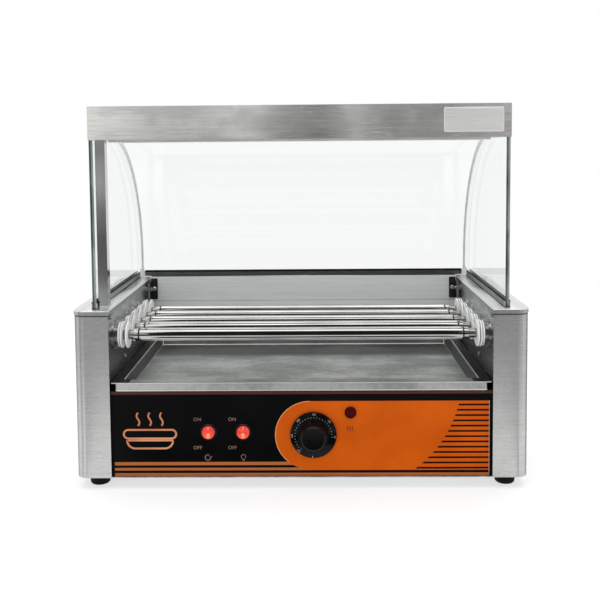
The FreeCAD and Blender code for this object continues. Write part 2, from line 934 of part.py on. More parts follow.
# Motor: round geared motor under the deck, on a bracket with four posts on the right-hand side plate
bracket_face = side_inner - d.motor_bracket_gap
motor_front = bracket_face - d.motor_bracket_sheet
motor_radius = panel_height * d.motor_share
motor_post_spread = motor_radius + d.motor_post_gap
motor_z = drive_z - d.motor_offset
motor_back = motor_front - d.motor_length
motor_can = rod("x", motor_radius, (motor_back, motor_front), (drive_y, motor_z))
motor_boss = rod("x", d.motor_boss_radius, (motor_front, motor_front + d.motor_boss), (drive_y, drive_z))
motor_tail = rod("x", d.motor_tail_radius, (motor_back - d.motor_tail, motor_back), (drive_y, motor_z))
shaft_bore = rod("x", d.motor_shaft_radius + d.running_gap, (motor_back, side_outer), (drive_y, drive_z))
node("gear_motor", cut(fuse(motor_can, motor_boss, motor_tail), shaft_bore))
bracket_reach = motor_post_spread + d.motor_post_radius
motor_plate = block(
    (motor_front, bracket_face),
    (drive_y - bracket_reach, drive_y + bracket_reach),
    (motor_z - bracket_reach, motor_z + bracket_reach))
motor_posts = []
for side_y in (-1, 1):
    for side_z in (-1, 1):
        spot = (drive_y + motor_post_spread * side_y, motor_z + motor_post_spread * side_z)
        motor_posts.append(rod("x", d.motor_post_radius, (bracket_face, side_inner), spot))
boss_hole = rod("x", d.motor_boss_radius, (motor_front - d.overrun, bracket_face + d.overrun),
                (drive_y, drive_z))
node("motor_bracket", cut(fuse(motor_plate, *motor_posts), boss_hole))
shaft_start = motor_front - d.motor_length / 2
node("motor_shaft", rod("x", d.motor_shaft_radius, (shaft_start, sprocket_end + d.overrun), (drive_y, drive_z)))


# Chain: pins a pitch apart along the loop over the row of rollers and down round the drive sprocket
def loop_point(steps):
    """Place of a pin on the loop, in y and z, that many pitches on from the top of the first roller."""
    centres = [(first_roller_y, roller_z), (last_roller_y, roller_z), (drive_y, drive_z)]
    spots = [FreeCAD.Vector(y.number, z.number, 0) for y, z in centres]
    runs = [spots[(i + 1) % len(spots)] - spots[i] for i in range(len(spots))]
    angles = [math.degrees(math.atan2(run.y, run.x)) + 90 for run in runs]
    tooth_angle = 360 / d.sprocket_teeth.number
    left = steps
    for index, run in enumerate(runs):
        straight = run.Length / d.chain_pitch.number
        out = FreeCAD.Vector(math.cos(math.radians(angles[index])), math.sin(math.radians(angles[index])), 0)
        if left <= straight:
            along = run.normalize() * (left * d.chain_pitch.number)
            return spots[index] + out * sprocket_radius.number + along
        left -= straight
        turn = (angles[index] - angles[(index + 1) % len(angles)]) % 360
        if left <= turn / tooth_angle:
            angle = math.radians(angles[index] - left * tooth_angle)
            hub = spots[(index + 1) % len(spots)]
            return hub + FreeCAD.Vector(math.cos(angle), math.sin(angle), 0) * sprocket_radius.number
        left -= turn / tooth_angle
    return loop_point(0)


PLATE_SIDES = 8
ROLLER_SIDES = 8


def upright(points, x_low, x_high):
    """Prism along x with the given outline in y and z."""
    wire = Part.makePolygon([FreeCAD.Vector(x_low, p.x, p.y) for p in points + points[:1]])
    return Part.Face(wire).extrude(FreeCAD.Vector(x_high - x_low, 0, 0))


def ring_points(centre, radius, count, start, sweep):
    angles = [math.radians(start + sweep * i / count) for i in range(count + (sweep < 360))]
    return [centre + FreeCAD.Vector(math.cos(a), math.sin(a), 0) * radius for a in angles]


def link_plate(a, b, x_low, x_high):
    """Plate with rounded ends about two pins."""
    heading = math.degrees(math.atan2(b.y - a.y, b.x - a.x))
    half = PLATE_SIDES // 2 - 1
    points = ring_points(b, d.chain_plate_radius.number, half, heading - 90, 180)
    points += ring_points(a, d.chain_plate_radius.number, half, heading + 90, 180)
    return upright(points, x_low, x_high)


def chain_shape():
    pins = [loop_point(i) for i in range(int(chain_links.number))]
    middle = sprocket_x.number
    inner = d.chain_inner_width.number / 2
    plate = d.chain_plate.number
    solids = []
    for index, a in enumerate(pins):
        b = pins[(index + 1) % len(pins)]
        layer = inner + (index % 2) * plate
        plates = [link_plate(a, b, middle + layer, middle + layer + plate),
                  link_plate(a, b, middle - layer - plate, middle - layer)]
        if index % 2:
            solids += plates
            continue
        rollers = [upright(ring_points(pin, d.chain_roller_radius.number, ROLLER_SIDES, 0, 360),
                           middle - inner, middle + inner) for pin in (a, b)]
        solids.append(plates[0].multiFuse(plates[1:] + rollers))
    return Part.makeCompound(solids)


chain = doc.addObject("Part::Feature", "drive_chain")
chain.Shape = chain_shape()
node("drive_chain", chain)

# Drive sprocket: keyed on the motor shaft, half a tooth round from the roller sprockets
sprocket = new_body("drive_sprocket")
revolved(sprocket, "x", [
    (-d.sprocket_width / 2, d.motor_shaft_radius),
    (d.sprocket_width / 2, d.motor_shaft_radius),
    (d.sprocket_width / 2, d.sprocket_tip_radius),
    (-d.sprocket_width / 2, d.sprocket_tip_radius),
])
repeated_around(sprocket, tooth_gap(sprocket), "X_Axis", d.sprocket_teeth)
wrap_pins = [loop_point(i) for i in range(int(chain_links.number))]
lowest = min(wrap_pins, key=lambda pin: pin.y)
lowest_angle = math.degrees(math.atan2(lowest.y - drive_z.number, lowest.x - drive_y.number))
sprocket.Placement.Rotation = FreeCAD.Rotation(FreeCAD.Vector(1, 0, 0), lowest_angle - 90)
place(sprocket, sprocket_x, drive_y, drive_z)
node("drive_sprocket", sprocket)

# Control panel: folded channel between the side plates, pierced for the controls
panel_profile = prism("YZ_Plane", [
    (panel_front, base_top),
    (panel_front + d.panel_flange, base_top),
    (panel_front + d.panel_flange, base_top + d.panel_sheet),
    (panel_back, base_top + d.panel_sheet),
    (panel_back, panel_top - d.panel_sheet),
    (panel_front + d.panel_flange, panel_top - d.panel_sheet),
    (panel_front + d.panel_flange, panel_top),
    (panel_front, panel_top),
], (-side_inner, side_inner))
SWITCHES = {"turn": d.turn_switch_x, "light": d.light_switch_x}
pierce = (overlay_front - d.overrun, panel_back + d.overrun)


def control_holes():
    holes = [rod("y", d.switch_barrel_radius, pierce, (x, switch_z)) for x in SWITCHES.values()]
    holes.append(rod("y", d.thermostat_boss_radius, pierce, (d.knob_x, knob_z)))
    holes.append(rod("y", d.indicator_barrel_radius, pierce, (d.indicator_x, indicator_z)))
    return holes


node("control_panel", cut(panel_profile, *control_holes()))
overlay = block((-side_inner, side_inner), (overlay_front, panel_front), (base_top, panel_top))
node("panel_overlay", cut(overlay, *control_holes()))
node("deck_plate", block((-side_inner, side_inner), (panel_front, rear_panel_front), (panel_top, deck_top)))

# Rocker switches: snap-in barrel with a bezel and a well, and a rocker that tips in the well
bezel_front = overlay_front - d.switch_bezel
pivot_y = bezel_front + d.rocker_pivot


def switch_body(x):
    housing = turned("y", [
        (-d.switch_bezel, d.switch_well_radius),
        (-d.switch_bezel, d.switch_bezel_radius - d.switch_bezel_edge),
        (d.switch_bezel_edge - d.switch_bezel, d.switch_bezel_radius),
        (0, d.switch_bezel_radius),
        (0, d.switch_barrel_radius),
        (d.switch_barrel, d.switch_barrel_radius),
        (d.switch_barrel, 0),
        (d.switch_well, 0),
        (d.switch_well, d.switch_well_radius),
    ], (x, overlay_front, switch_z))
    blades = []
    for step in (-1, 0, 1):
        blade_z = switch_z + d.switch_blade_pitch * step
        blades.append(block(
            (x - d.switch_blade_width / 2, x + d.switch_blade_width / 2),
            (overlay_front + d.switch_barrel, overlay_front + d.switch_barrel + d.switch_blade),
            (blade_z - d.switch_blade_sheet / 2, blade_z + d.switch_blade_sheet / 2)))
    return fuse(housing, *blades)


def rocker(x):
    """Round paddle with two slightly hollowed faces, tipped with its upper half pressed in."""
    half = d.rocker_radius + d.overrun
    face = -d.rocker_pivot - d.rocker_proud
    paddle = prism("YZ_Plane", [
        (face, -half),
        (d.rocker_skirt, -half),
        (d.rocker_skirt, half),
        (face, half),
        (face + d.rocker_crown, 0),
    ], (-half, half))
    disc = rod("y", d.rocker_radius, (-half, half), (0, 0))
    made = doc.addObject("Part::MultiCommon", "rocker")
    made.Shapes = [paddle, disc]
    made.Placement.Rotation = FreeCAD.Rotation(FreeCAD.Vector(1, 0, 0), -d.rocker_tilt.number)
    place(made, x, pivot_y, switch_z)
    return made


node("switch_bodies", group(*[switch_body(x) for x in SWITCHES.values()]))
for name, x in SWITCHES.items():
    node(f"{name}_rocker", rocker(x))

# Thermostat: body behind the panel, spindle through it, and a skirted knob with a fluted hub
thermostat_back = panel_back + d.thermostat_body
thermostat_case = block(
    (d.knob_x - d.thermostat_width / 2, d.knob_x + d.thermostat_width / 2),
    (panel_back, thermostat_back),
    (knob_z - d.thermostat_width / 2, knob_z + d.thermostat_width / 2))
thermostat_boss = rod("y", d.thermostat_boss_radius, (panel_back - d.thermostat_boss / 2, panel_back),
                      (d.knob_x, knob_z))
spindle_hole_end = panel_back + d.spindle_tail + d.motion_gap
spindle_hole = rod("y", d.spindle_radius + d.running_gap, (overlay_front, spindle_hole_end), (d.knob_x, knob_z))
node("thermostat_body", cut(fuse(thermostat_case, thermostat_boss), spindle_hole))
knob_base = -d.knob_gap
knob_face = knob_base - d.knob_depth
skirt_face = knob_base - d.knob_skirt
grip_end = knob_base - d.spindle_grip
knob = new_body("thermostat_knob")
revolved(knob, "y", [
    (knob_base, d.spindle_radius),
    (grip_end, d.spindle_radius),
    (grip_end, 0),
    (knob_face + d.knob_dish, 0),
    (knob_face + d.knob_dish, d.knob_dish_radius),
    (knob_face, d.knob_dish_radius),
    (knob_face, d.knob_hub_top_radius - d.knob_hub_edge),
    (knob_face + d.knob_hub_edge, d.knob_hub_top_radius),
    (skirt_face, d.knob_hub_radius),
    (knob_base - d.knob_rim, d.knob_radius),
    (knob_base, d.knob_radius),
])
flute_sketch = new_sketch(knob, "XZ_Plane", (0, 0, -skirt_face))
flute_circle = flute_sketch.addGeometry(Part.Circle(FreeCAD.Vector(0, 0, 0), FreeCAD.Vector(0, 0, 1), 1))
flute_centre = d.knob_hub_radius + d.knob_flute_radius - d.knob_flute_depth
flute_sketch.addConstraint(Sketcher.Constraint("PointOnObject", flute_circle, 3, -2))
flute_limits = [
    (Sketcher.Constraint("DistanceY", -1, 1, flute_circle, 3, flute_centre.number), flute_centre),
    (Sketcher.Constraint("Radius", flute_circle, d.knob_flute_radius.number), d.knob_flute_radius),
]
for limit, value in flute_limits:
    number = flute_sketch.addConstraint(limit)
    flute_sketch.setExpression(f"Constraints[{number}]", value.text)
flute = knob.newObject("PartDesign::Pocket", "flute")
flute.Profile = flute_sketch
flute.Reversed = True
bind(flute, "Length", d.knob_depth)
KNOB_FLUTES = 9
repeated_around(knob, flute, "Y_Axis", KNOB_FLUTES)
place(knob, d.knob_x, overlay_front, knob_z)
node("thermostat_knob", knob)
node("thermostat_spindle", rod("y", d.spindle_radius, (overlay_front + grip_end, panel_back + d.spindle_tail),
                               (d.knob_x, knob_z)))

# Thermostat bulb: clipped along the left-hand side plate, inside the housing, under the roller necks
bulb_y = front + d.bulb_back
bulb_x = -side_outer - d.bulb_clip_sheet - d.bulb_radius
bulb_z = roller_z - d.bulb_drop
bulb = rod("y", d.bulb_radius, (bulb_y, bulb_y + d.bulb_length), (bulb_x, bulb_z))
CLIP_SHARES = (0.2, 0.8)
clips = []
for share in CLIP_SHARES:
    clip_y = bulb_y + d.bulb_length * share
    clips.append(block(
        (-side_outer - d.bulb_clip_sheet - d.bulb_radius, -side_outer),
        (clip_y - d.bulb_clip_width / 2, clip_y + d.bulb_clip_width / 2),
        (bulb_z - d.bulb_radius - d.bulb_clip_sheet, bulb_z + d.bulb_radius + d.bulb_clip_sheet)))
node("thermostat_bulb", fuse(bulb, *clips))

# Indicator: domed lens on a threaded barrel
node("heat_indicator", turned("y", [
    (d.indicator_barrel, 0),
    (-d.indicator_lens, 0),
    (-d.indicator_lens, d.indicator_radius - d.indicator_lens + d.indicator_rim,
     d.indicator_lens - d.indicator_rim, RIGHT_TURN),
    (-d.indicator_rim, d.indicator_radius),
    (0, d.indicator_radius),
    (0, d.indicator_barrel_radius),
    (d.indicator_barrel, d.indicator_barrel_radius),
], (d.indicator_x, overlay_front, indicator_z)))

# Rear panel: folded sheet with a top flange for the glass channel, vent slots and the inlet hole
rear_flange_end = rear - lip_room
rear_panel_half = half_width - d.housing_width - d.fit_gap
gland_x = rear_panel_half - d.gland_inset
rear_profile = prism("YZ_Plane", [
    (rear_panel_front, base_top),
    (rear_flange_end, base_top),
    (rear_flange_end, base_top + d.rear_panel_sheet),
    (rear_panel_back, base_top + d.rear_panel_sheet),
    (rear_panel_back, rear_panel_top - d.rear_panel_sheet),
    (rear_flange_end, rear_panel_top - d.rear_panel_sheet),
    (rear_flange_end, rear_panel_top),
    (rear_panel_front, rear_panel_top),
], (-rear_panel_half, rear_panel_half))
rear_pierce = (rear_panel_front - d.overrun, rear_panel_back + d.overrun)
VENT_ROWS = 6
VENT_SHARE = 0.6
rear_cuts = []
for step in range(VENT_ROWS):
    vent_z = d.vent_bottom + d.vent_pitch * step
    for side in (-1, 1):
        vent_x = d.vent_x + d.vent_length * side * VENT_SHARE
        rear_cuts.append(block(
            (vent_x - d.vent_length / 2, vent_x + d.vent_length / 2),
            rear_pierce,
            (vent_z, vent_z + d.vent_width)))
rear_cuts.append(rod("y", d.gland_thread_radius, rear_pierce, (gland_x, d.gland_height)))
bracket_screw_x = side_inner - (d.bracket_leg + d.bracket_sheet) / 2
for side in (-1, 1):
    rear_cuts.append(rod("y", d.screw_radius, rear_pierce, (bracket_screw_x * side, bracket_middle)))
node("rear_panel", cut(rear_profile, *rear_cuts))

# Corner brackets: angles that tie the rear panel to the side plates, notched under the lips of the caps
bracket = prism("XY_Plane", [
    (-side_inner, rear_panel_front),
    (-side_inner, rear_panel_front - d.bracket_leg),
    (d.bracket_sheet - side_inner, rear_panel_front - d.bracket_leg),
    (d.bracket_sheet - side_inner, bracket_back),
    (d.bracket_leg - side_inner, bracket_back),
    (d.bracket_leg - side_inner, rear_panel_front),
], (bracket_low, cap_under))
bracket_holes = [
    rod("x", d.screw_radius, (-side_inner - d.overrun, d.bracket_leg - side_inner),
        (bracket_screw_y, bracket_middle)),
    rod("y", d.screw_radius, (bracket_back - d.overrun, rear_panel_back), (-bracket_screw_x, bracket_middle)),
]
lip_notch = block(
    (-side_inner - d.overrun, d.bracket_sheet - side_inner),
    (rear_panel_front - d.bracket_leg - d.overrun, rear_panel_front + d.overrun),
    (d.cabinet_height - d.cap_lip - d.fit_gap, cap_under + d.overrun))
node("rear_panel_brackets", both_sides(cut(bracket, lip_notch, *bracket_holes)))

# Cabinet screws: on the side plates and on both legs of each corner bracket
left_screws = [screw("x", -side_inner, 1, spot) for spot in side_screw_spots]
left_screws.append(screw("x", d.bracket_sheet - side_inner, 1, (bracket_screw_y, bracket_middle)))
left_screws.append(screw("y", bracket_back, -1, (-bracket_screw_x, bracket_middle)))
node("cabinet_screws", both_sides(group(*left_screws)))

# Cable gland: hexagon and round nose outside the rear panel, thread and nut inside
HEX_SIDES = 6


def hexagon(radius, span):
    made = doc.addObject("Part::Prism", "hexagon")
    made.Polygon = HEX_SIDES
    made.Placement.Rotation = AXIS_TURNS["y"]
    bind(made, "Circumradius", radius)
    bind(made, "Height", span[1] - span[0])
    place(made, gland_x, span[0], d.gland_height)
    return made


gland_spot = (gland_x, d.gland_height)
gland_hex_end = rear_panel_back + d.gland_hex
gland_shape = fuse(
    hexagon(d.gland_hex_radius, (rear_panel_back, gland_hex_end)),
    hexagon(d.gland_hex_radius, (rear_panel_front - d.gland_hex, rear_panel_front)),
    rod("y", d.gland_nose_radius, (gland_hex_end, gland_hex_end + d.gland_nose), gland_spot),
    rod("y", d.gland_thread_radius, (rear_panel_front - d.gland_tail, gland_hex_end), gland_spot))
gland_ends = (rear_panel_front - d.gland_tail, gland_hex_end + d.gland_nose)
gland_bore = rod("y", d.gland_bore_radius, (gland_ends[0] - d.overrun, gland_ends[1] + d.overrun), gland_spot)
node("cable_gland", cut(gland_shape, gland_bore))

# Terminal block: on the base pan, notched between its ways
terminal_x = gland_x - d.terminal_inset
terminal_y = front + d.terminal_back
terminal = block(
    (terminal_x - d.terminal_length / 2, terminal_x + d.terminal_length / 2),
    (terminal_y - d.terminal_width / 2, terminal_y + d.terminal_width / 2),
    (base_top, base_top + d.terminal_height))
NOTCH_SHARES = (-0.33, 0, 0.33)
notches = []
for share in NOTCH_SHARES:
    notch_x = terminal_x + d.terminal_length * share
    notches.append(block(
        (notch_x - d.terminal_notch / 2, notch_x + d.terminal_notch / 2),
        (terminal_y - d.terminal_width / 4, terminal_y + d.terminal_width / 4),
        (base_top + d.terminal_height / 2, base_top + d.terminal_height + d.overrun)))
node("terminal_block", cut(terminal, *notches))


# Drip tray: pressed pan with sloped walls, a flat rim and a skirt folded down along its front
tray_rear = rear_panel_front - d.tray_rear_gap


def sloped_pan(inset, sink):
    """Solid inside of the pan's walls: a rectangle at the rim that narrows evenly to the floor."""
    half = side_inner - d.tray_side_gap - d.tray_flange + inset
    near = front + d.tray_front + d.tray_front_flange - inset
    far = tray_rear - d.tray_flange + inset
    made = doc.addObject("Part::Wedge", "pan")
    made.Placement.Rotation = AXIS_TURNS["y"]
    spans = {
        "Xmin": -half, "Xmax": half, "X2min": d.tray_slope - half, "X2max": half - d.tray_slope,
        "Zmin": near, "Zmax": far, "Z2min": near + d.tray_slope, "Z2max": far - d.tray_slope,
        "Ymin": size(0), "Ymax": sink,
    }
    for prop, value in spans.items():
        bind(made, prop, value)
    return made


tray_rim = deck_top + d.tray_rim_rise
tray_half = side_inner - d.tray_side_gap
rim_under = tray_rim - d.tray_sheet
rim_plate = block((-tray_half, tray_half), (front + d.tray_front, tray_rear), (rim_under, tray_rim))
skirt_half = tray_half - d.tray_skirt_inset
skirt_front = front + d.tray_front + d.tray_skirt_back
skirt_bend = d.tray_skirt_radius - d.tray_sheet
skirt_end = skirt_front + d.tray_skirt_return
skirt = prism("XY_Plane", [
    (d.tray_skirt_radius - skirt_half, skirt_front),
    (skirt_half - d.tray_skirt_radius, skirt_front, d.tray_skirt_radius, LEFT_TURN),
    (skirt_half, skirt_front + d.tray_skirt_radius),
    (skirt_half, skirt_end),
    (skirt_half - d.tray_sheet, skirt_end),
    (skirt_half - d.tray_sheet, skirt_front + d.tray_skirt_radius, skirt_bend, RIGHT_TURN),
    (skirt_half - d.tray_skirt_radius, skirt_front + d.tray_sheet),
    (d.tray_skirt_radius - skirt_half, skirt_front + d.tray_sheet, skirt_bend, RIGHT_TURN),
    (d.tray_sheet - skirt_half, skirt_front + d.tray_skirt_radius),
    (d.tray_sheet - skirt_half, skirt_end),
    (-skirt_half, skirt_end),
    (-skirt_half, skirt_front + d.tray_skirt_radius, d.tray_skirt_radius, LEFT_TURN),
], (rim_under - d.tray_skirt, rim_under))
outer_pan = sloped_pan(d.tray_sheet, d.tray_sink + d.tray_sheet)
inner_pan = sloped_pan(size(0), d.tray_sink)
for pan in (outer_pan, inner_pan):
    place(pan, 0, 0, tray_rim)
node("drip_tray", cut(fuse(rim_plate, skirt, outer_pan), inner_pan))

# Tray runners: angles on the side plates, under the side flanges of the tray
runner_top = rim_under - d.motion_gap
runner = prism("XZ_Plane", [
    (-side_inner, runner_top),
    (-side_inner, runner_top - d.runner_drop),
    (d.runner_sheet - side_inner, runner_top - d.runner_drop),
    (d.runner_sheet - side_inner, runner_top - d.runner_sheet),
    (d.runner_leg - side_inner, runner_top - d.runner_sheet),
    (d.runner_leg - side_inner, runner_top),
], (front + d.runner_start, rear_panel_front))
node("tray_runners", both_sides(runner))

# Glass channels: U-sections that stand on the caps and on the rear panel
channel_inner = glass_inner - d.fit_gap
channel_outer = glass_outer + d.fit_gap
channel_top = d.cabinet_height + d.channel_height
channel_floor = d.cabinet_height + d.channel_sheet
channel = prism("XZ_Plane", [
    (-channel_outer - d.channel_sheet, d.cabinet_height),
    (d.channel_sheet - channel_inner, d.cabinet_height),
    (d.channel_sheet - channel_inner, channel_top),
    (-channel_inner, channel_top),
    (-channel_inner, channel_floor),
    (-channel_outer, channel_floor),
    (-channel_outer, channel_top),
    (-channel_outer - d.channel_sheet, channel_top),
], (front + d.channel_front, curve_rear))
node("side_glass_channels", both_sides(channel))
curve_inner = curve_rear - d.glass_sheet
channel_face = channel_inner - d.channel_sheet
rear_channel_half = channel_face - d.bead - d.rear_channel_gap
rear_channel_floor = rear_panel_top + d.channel_sheet
rear_channel_top = rear_panel_top + d.rear_channel_height
node("rear_glass_channel", prism("YZ_Plane", [
    (curve_inner - d.fit_gap - d.channel_sheet, rear_panel_top),
    (curve_rear + d.fit_gap + d.channel_sheet, rear_panel_top),
    (curve_rear + d.fit_gap + d.channel_sheet, rear_channel_top),
    (curve_rear + d.fit_gap, rear_channel_top),
    (curve_rear + d.fit_gap, rear_channel_floor),
    (curve_inner - d.fit_gap, rear_channel_floor),
    (curve_inner - d.fit_gap, rear_channel_top),
    (curve_inner - d.fit_gap - d.channel_sheet, rear_channel_top),
], (-rear_channel_half, rear_channel_half)))


# Glass: two flat sides whose back edge follows the bend of the rear glass that runs between them
def on_curve(y, radius):
    """Height of the bend at a place along y."""
    return curve_z + root(radius * radius - (y - curve_centre) * (y - curve_centre))


glass_top = hood_under - d.fit_gap
curve_top_y = front + d.curve_top_back
glass_back_top = hood_back - d.hood_sheet - d.fit_gap
side_glass = prism("YZ_Plane", [
    (front + d.glass_front, channel_floor),
    (curve_rear, channel_floor),
    (curve_rear, curve_z, curve_radius, LEFT_TURN),
    (glass_back_top, on_curve(glass_back_top, curve_radius)),
    (glass_back_top, glass_top),
    (front + d.glass_front, glass_top),
], (-glass_outer, -glass_inner))
node("left_side_glass", side_glass)
node("right_side_glass", mirror(side_glass))
inner_curve = curve_radius - d.glass_sheet
curve_half = glass_inner - d.seam
node("curved_glass", prism("YZ_Plane", [
    (curve_inner, rear_channel_floor),
    (curve_rear, rear_channel_floor),
    (curve_rear, curve_z, curve_radius, LEFT_TURN),
    (curve_top_y, on_curve(curve_top_y, curve_radius)),
    (curve_top_y, on_curve(curve_top_y, inner_curve), inner_curve, RIGHT_TURN),
    (curve_inner, curve_z),
], (-curve_half, curve_half)))

# Sealant: a seam between the bent glass and each side glass, and a hollow-faced bead at its foot
seam = prism("YZ_Plane", [
    (curve_inner, channel_top),
    (curve_rear, channel_top),
    (curve_rear, curve_z, curve_radius, LEFT_TURN),
    (curve_top_y, on_curve(curve_top_y, curve_radius)),
    (curve_top_y, on_curve(curve_top_y, inner_curve), inner_curve, RIGHT_TURN),
    (curve_inner, curve_z),
], (-glass_inner, -curve_half))
bead = prism("XY_Plane", [
    (-channel_face, curve_inner),
    (-channel_face, curve_inner - d.bead, d.bead, RIGHT_TURN),
    (d.bead - channel_face, curve_inner),
], (d.cabinet_height, d.cabinet_height + d.bead_height))
node("glass_sealant_beads", both_sides(fuse(seam, bead)))

# Hood: folded sheet with a deep front fascia, a shorter back wall that meets the glass, and end walls
fascia_front = front + d.hood_front
fascia_back = fascia_front + d.hood_sheet
fascia_low = hood_top - d.fascia
hood_wall_low = on_curve(hood_back - d.hood_sheet, curve_radius) + d.fit_gap
hood_half = glass_outer + d.fit_gap + d.hood_sheet
hood_fold = prism("YZ_Plane", [
    (fascia_front, fascia_low),
    (fascia_back, fascia_low),
    (fascia_back, hood_under),
    (hood_back - d.hood_sheet, hood_under),
    (hood_back - d.hood_sheet, hood_wall_low),
    (hood_back, hood_wall_low),
    (hood_back, hood_top),
    (fascia_front, hood_top),
], (-hood_half, hood_half))
hood_end = block((-hood_half, d.hood_sheet - hood_half), (fascia_front, hood_back), (fascia_low, hood_top))
node("hood", fuse(hood_fold, hood_end, mirror(hood_end)))

# Lamp tray: reflector with sloped walls, fixed under the hood's top
tray_low = hood_under - d.lamp_tray_drop
lamp_front = front + d.lamp_tray_front
lamp_rear = front + d.lamp_tray_rear
lamp_sheet = d.lamp_tray_sheet
lamp_tray_half = glass_inner - d.lamp_tray_gap
node("lamp_tray", prism("YZ_Plane", [
    (lamp_front, tray_low),
    (lamp_front + lamp_sheet, tray_low),
    (lamp_front + d.lamp_tray_slope + lamp_sheet, hood_under - lamp_sheet),
    (lamp_rear - d.lamp_tray_slope - lamp_sheet, hood_under - lamp_sheet),
    (lamp_rear - lamp_sheet, tray_low),
    (lamp_rear, tray_low),
    (lamp_rear - d.lamp_tray_slope, hood_under),
    (lamp_front + d.lamp_tray_slope, hood_under),
], (-lamp_tray_half, lamp_tray_half)))

# Lamp: glass tube with a metal cap at both ends, held in two moulded holders
lamp_y = (lamp_front + lamp_rear) / 2
lamp_half = lamp_tray_half - d.lamp_end_gap
lamp_z = hood_top - d.lamp_drop
node("lamp_tube", turned("x", [
    (-lamp_half, 0),
    (lamp_half, 0),
    (lamp_half, d.lamp_cap_radius),
    (lamp_half - d.lamp_cap, d.lamp_cap_radius),
    (lamp_half - d.lamp_cap, d.lamp_radius),
    (d.lamp_cap - lamp_half, d.lamp_radius),
    (d.lamp_cap - lamp_half, d.lamp_cap_radius),
    (-lamp_half, d.lamp_cap_radius),
], (0, lamp_y, lamp_z)))
HOLDER_ROUND_SHARE = 1.1
holder_half = d.lamp_holder_width / 2
holder_radius = holder_half * HOLDER_ROUND_SHARE
holder_shoulder = lamp_z - d.lamp_holder_below + holder_half
lamp_holder = prism("YZ_Plane", [
    (lamp_y - holder_half, holder_shoulder, holder_radius, LEFT_TURN),
    (lamp_y + holder_half, holder_shoulder),
    (lamp_y + holder_half, hood_under - lamp_sheet),
    (lamp_y - holder_half, hood_under - lamp_sheet),
], (-lamp_half - d.lamp_holder, -lamp_half))
node("lamp_holders", both_sides(lamp_holder))

# Conduit post: square tube that carries the lamp's wires from the left-hand cap up to the hood
post_left = d.channel_sheet - channel_inner + d.fit_gap
post_y = front + d.post_front
post_outer = block(
    (post_left, post_left + d.post_size), (post_y, post_y + d.post_size), (d.cabinet_height, hood_under))
post_hollow = block(
    (post_left + d.post_sheet, post_left + d.post_size - d.post_sheet),
    (post_y + d.post_sheet, post_y + d.post_size - d.post_sheet),
    (d.cabinet_height - d.overrun, hood_under + d.overrun))
node("conduit_post", cut(post_outer, post_hollow))

doc.recompute()
for item in doc.Objects:
    if "Invalid" in item.State or "Error" in item.State:
        raise RuntimeError(f"{item.Label} failed: {item.State}")
for label, item in nodes.items():
    if item.Shape.isNull() or not item.Shape.isValid() or not item.Shape.Solids:
        raise RuntimeError(f"{label} has no valid shape")

os.makedirs("parts", exist_ok=True)
for label, item in nodes.items():
    item.Shape.exportStep(f"parts/{label}.step")
    print(label, len(item.Shape.Solids), round(item.Shape.Volume, 1))
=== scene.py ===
import math

import bmesh
import bpy
import numpy as np
from mathutils import Matrix, Vector


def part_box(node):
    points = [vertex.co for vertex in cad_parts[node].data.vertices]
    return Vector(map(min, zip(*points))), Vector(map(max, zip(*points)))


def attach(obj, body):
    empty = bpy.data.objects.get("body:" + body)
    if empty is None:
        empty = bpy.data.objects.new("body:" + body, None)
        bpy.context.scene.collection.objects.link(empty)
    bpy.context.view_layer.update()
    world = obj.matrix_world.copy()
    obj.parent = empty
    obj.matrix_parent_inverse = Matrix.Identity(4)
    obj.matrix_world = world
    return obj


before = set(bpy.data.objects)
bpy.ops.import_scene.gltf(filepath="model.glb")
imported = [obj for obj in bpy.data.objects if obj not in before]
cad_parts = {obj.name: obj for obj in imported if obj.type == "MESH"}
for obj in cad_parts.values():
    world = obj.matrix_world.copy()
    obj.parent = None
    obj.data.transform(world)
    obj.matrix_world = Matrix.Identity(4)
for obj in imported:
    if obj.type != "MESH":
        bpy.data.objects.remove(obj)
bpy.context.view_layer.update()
mm = 0.001


# The camera
# It stands just below the hood's height, right of the middle and two machine widths away,
# tilted a little down. The picture is shifted down to take in the cabinet and the feet.
camera_lens = bpy.data.cameras.new("camera")
camera_lens.sensor_width = 36
camera_lens.lens = 49.41
camera_lens.shift_x = -0.0026
camera_lens.shift_y = -0.1604
camera_place = Vector((18.58 * mm, -1161.4 * mm, 434.31 * mm))
camera_yaw = math.radians(0.87)
camera_pitch = math.radians(-3.85)
camera_roll = math.radians(0.48)
camera_turn = (
    Matrix.Rotation(camera_yaw, 4, "Z")
    @ Matrix.Rotation(camera_pitch, 4, "X")
    @ Matrix.Rotation(camera_roll, 4, "Y")
    @ Matrix.Rotation(math.radians(90), 4, "X")
)
camera = bpy.data.objects.new("camera", camera_lens)
camera.matrix_world = Matrix.Translation(camera_place) @ camera_turn
bpy.context.collection.objects.link(camera)
bpy.context.scene.camera = camera
bpy.context.scene.view_settings.view_transform = "Standard"


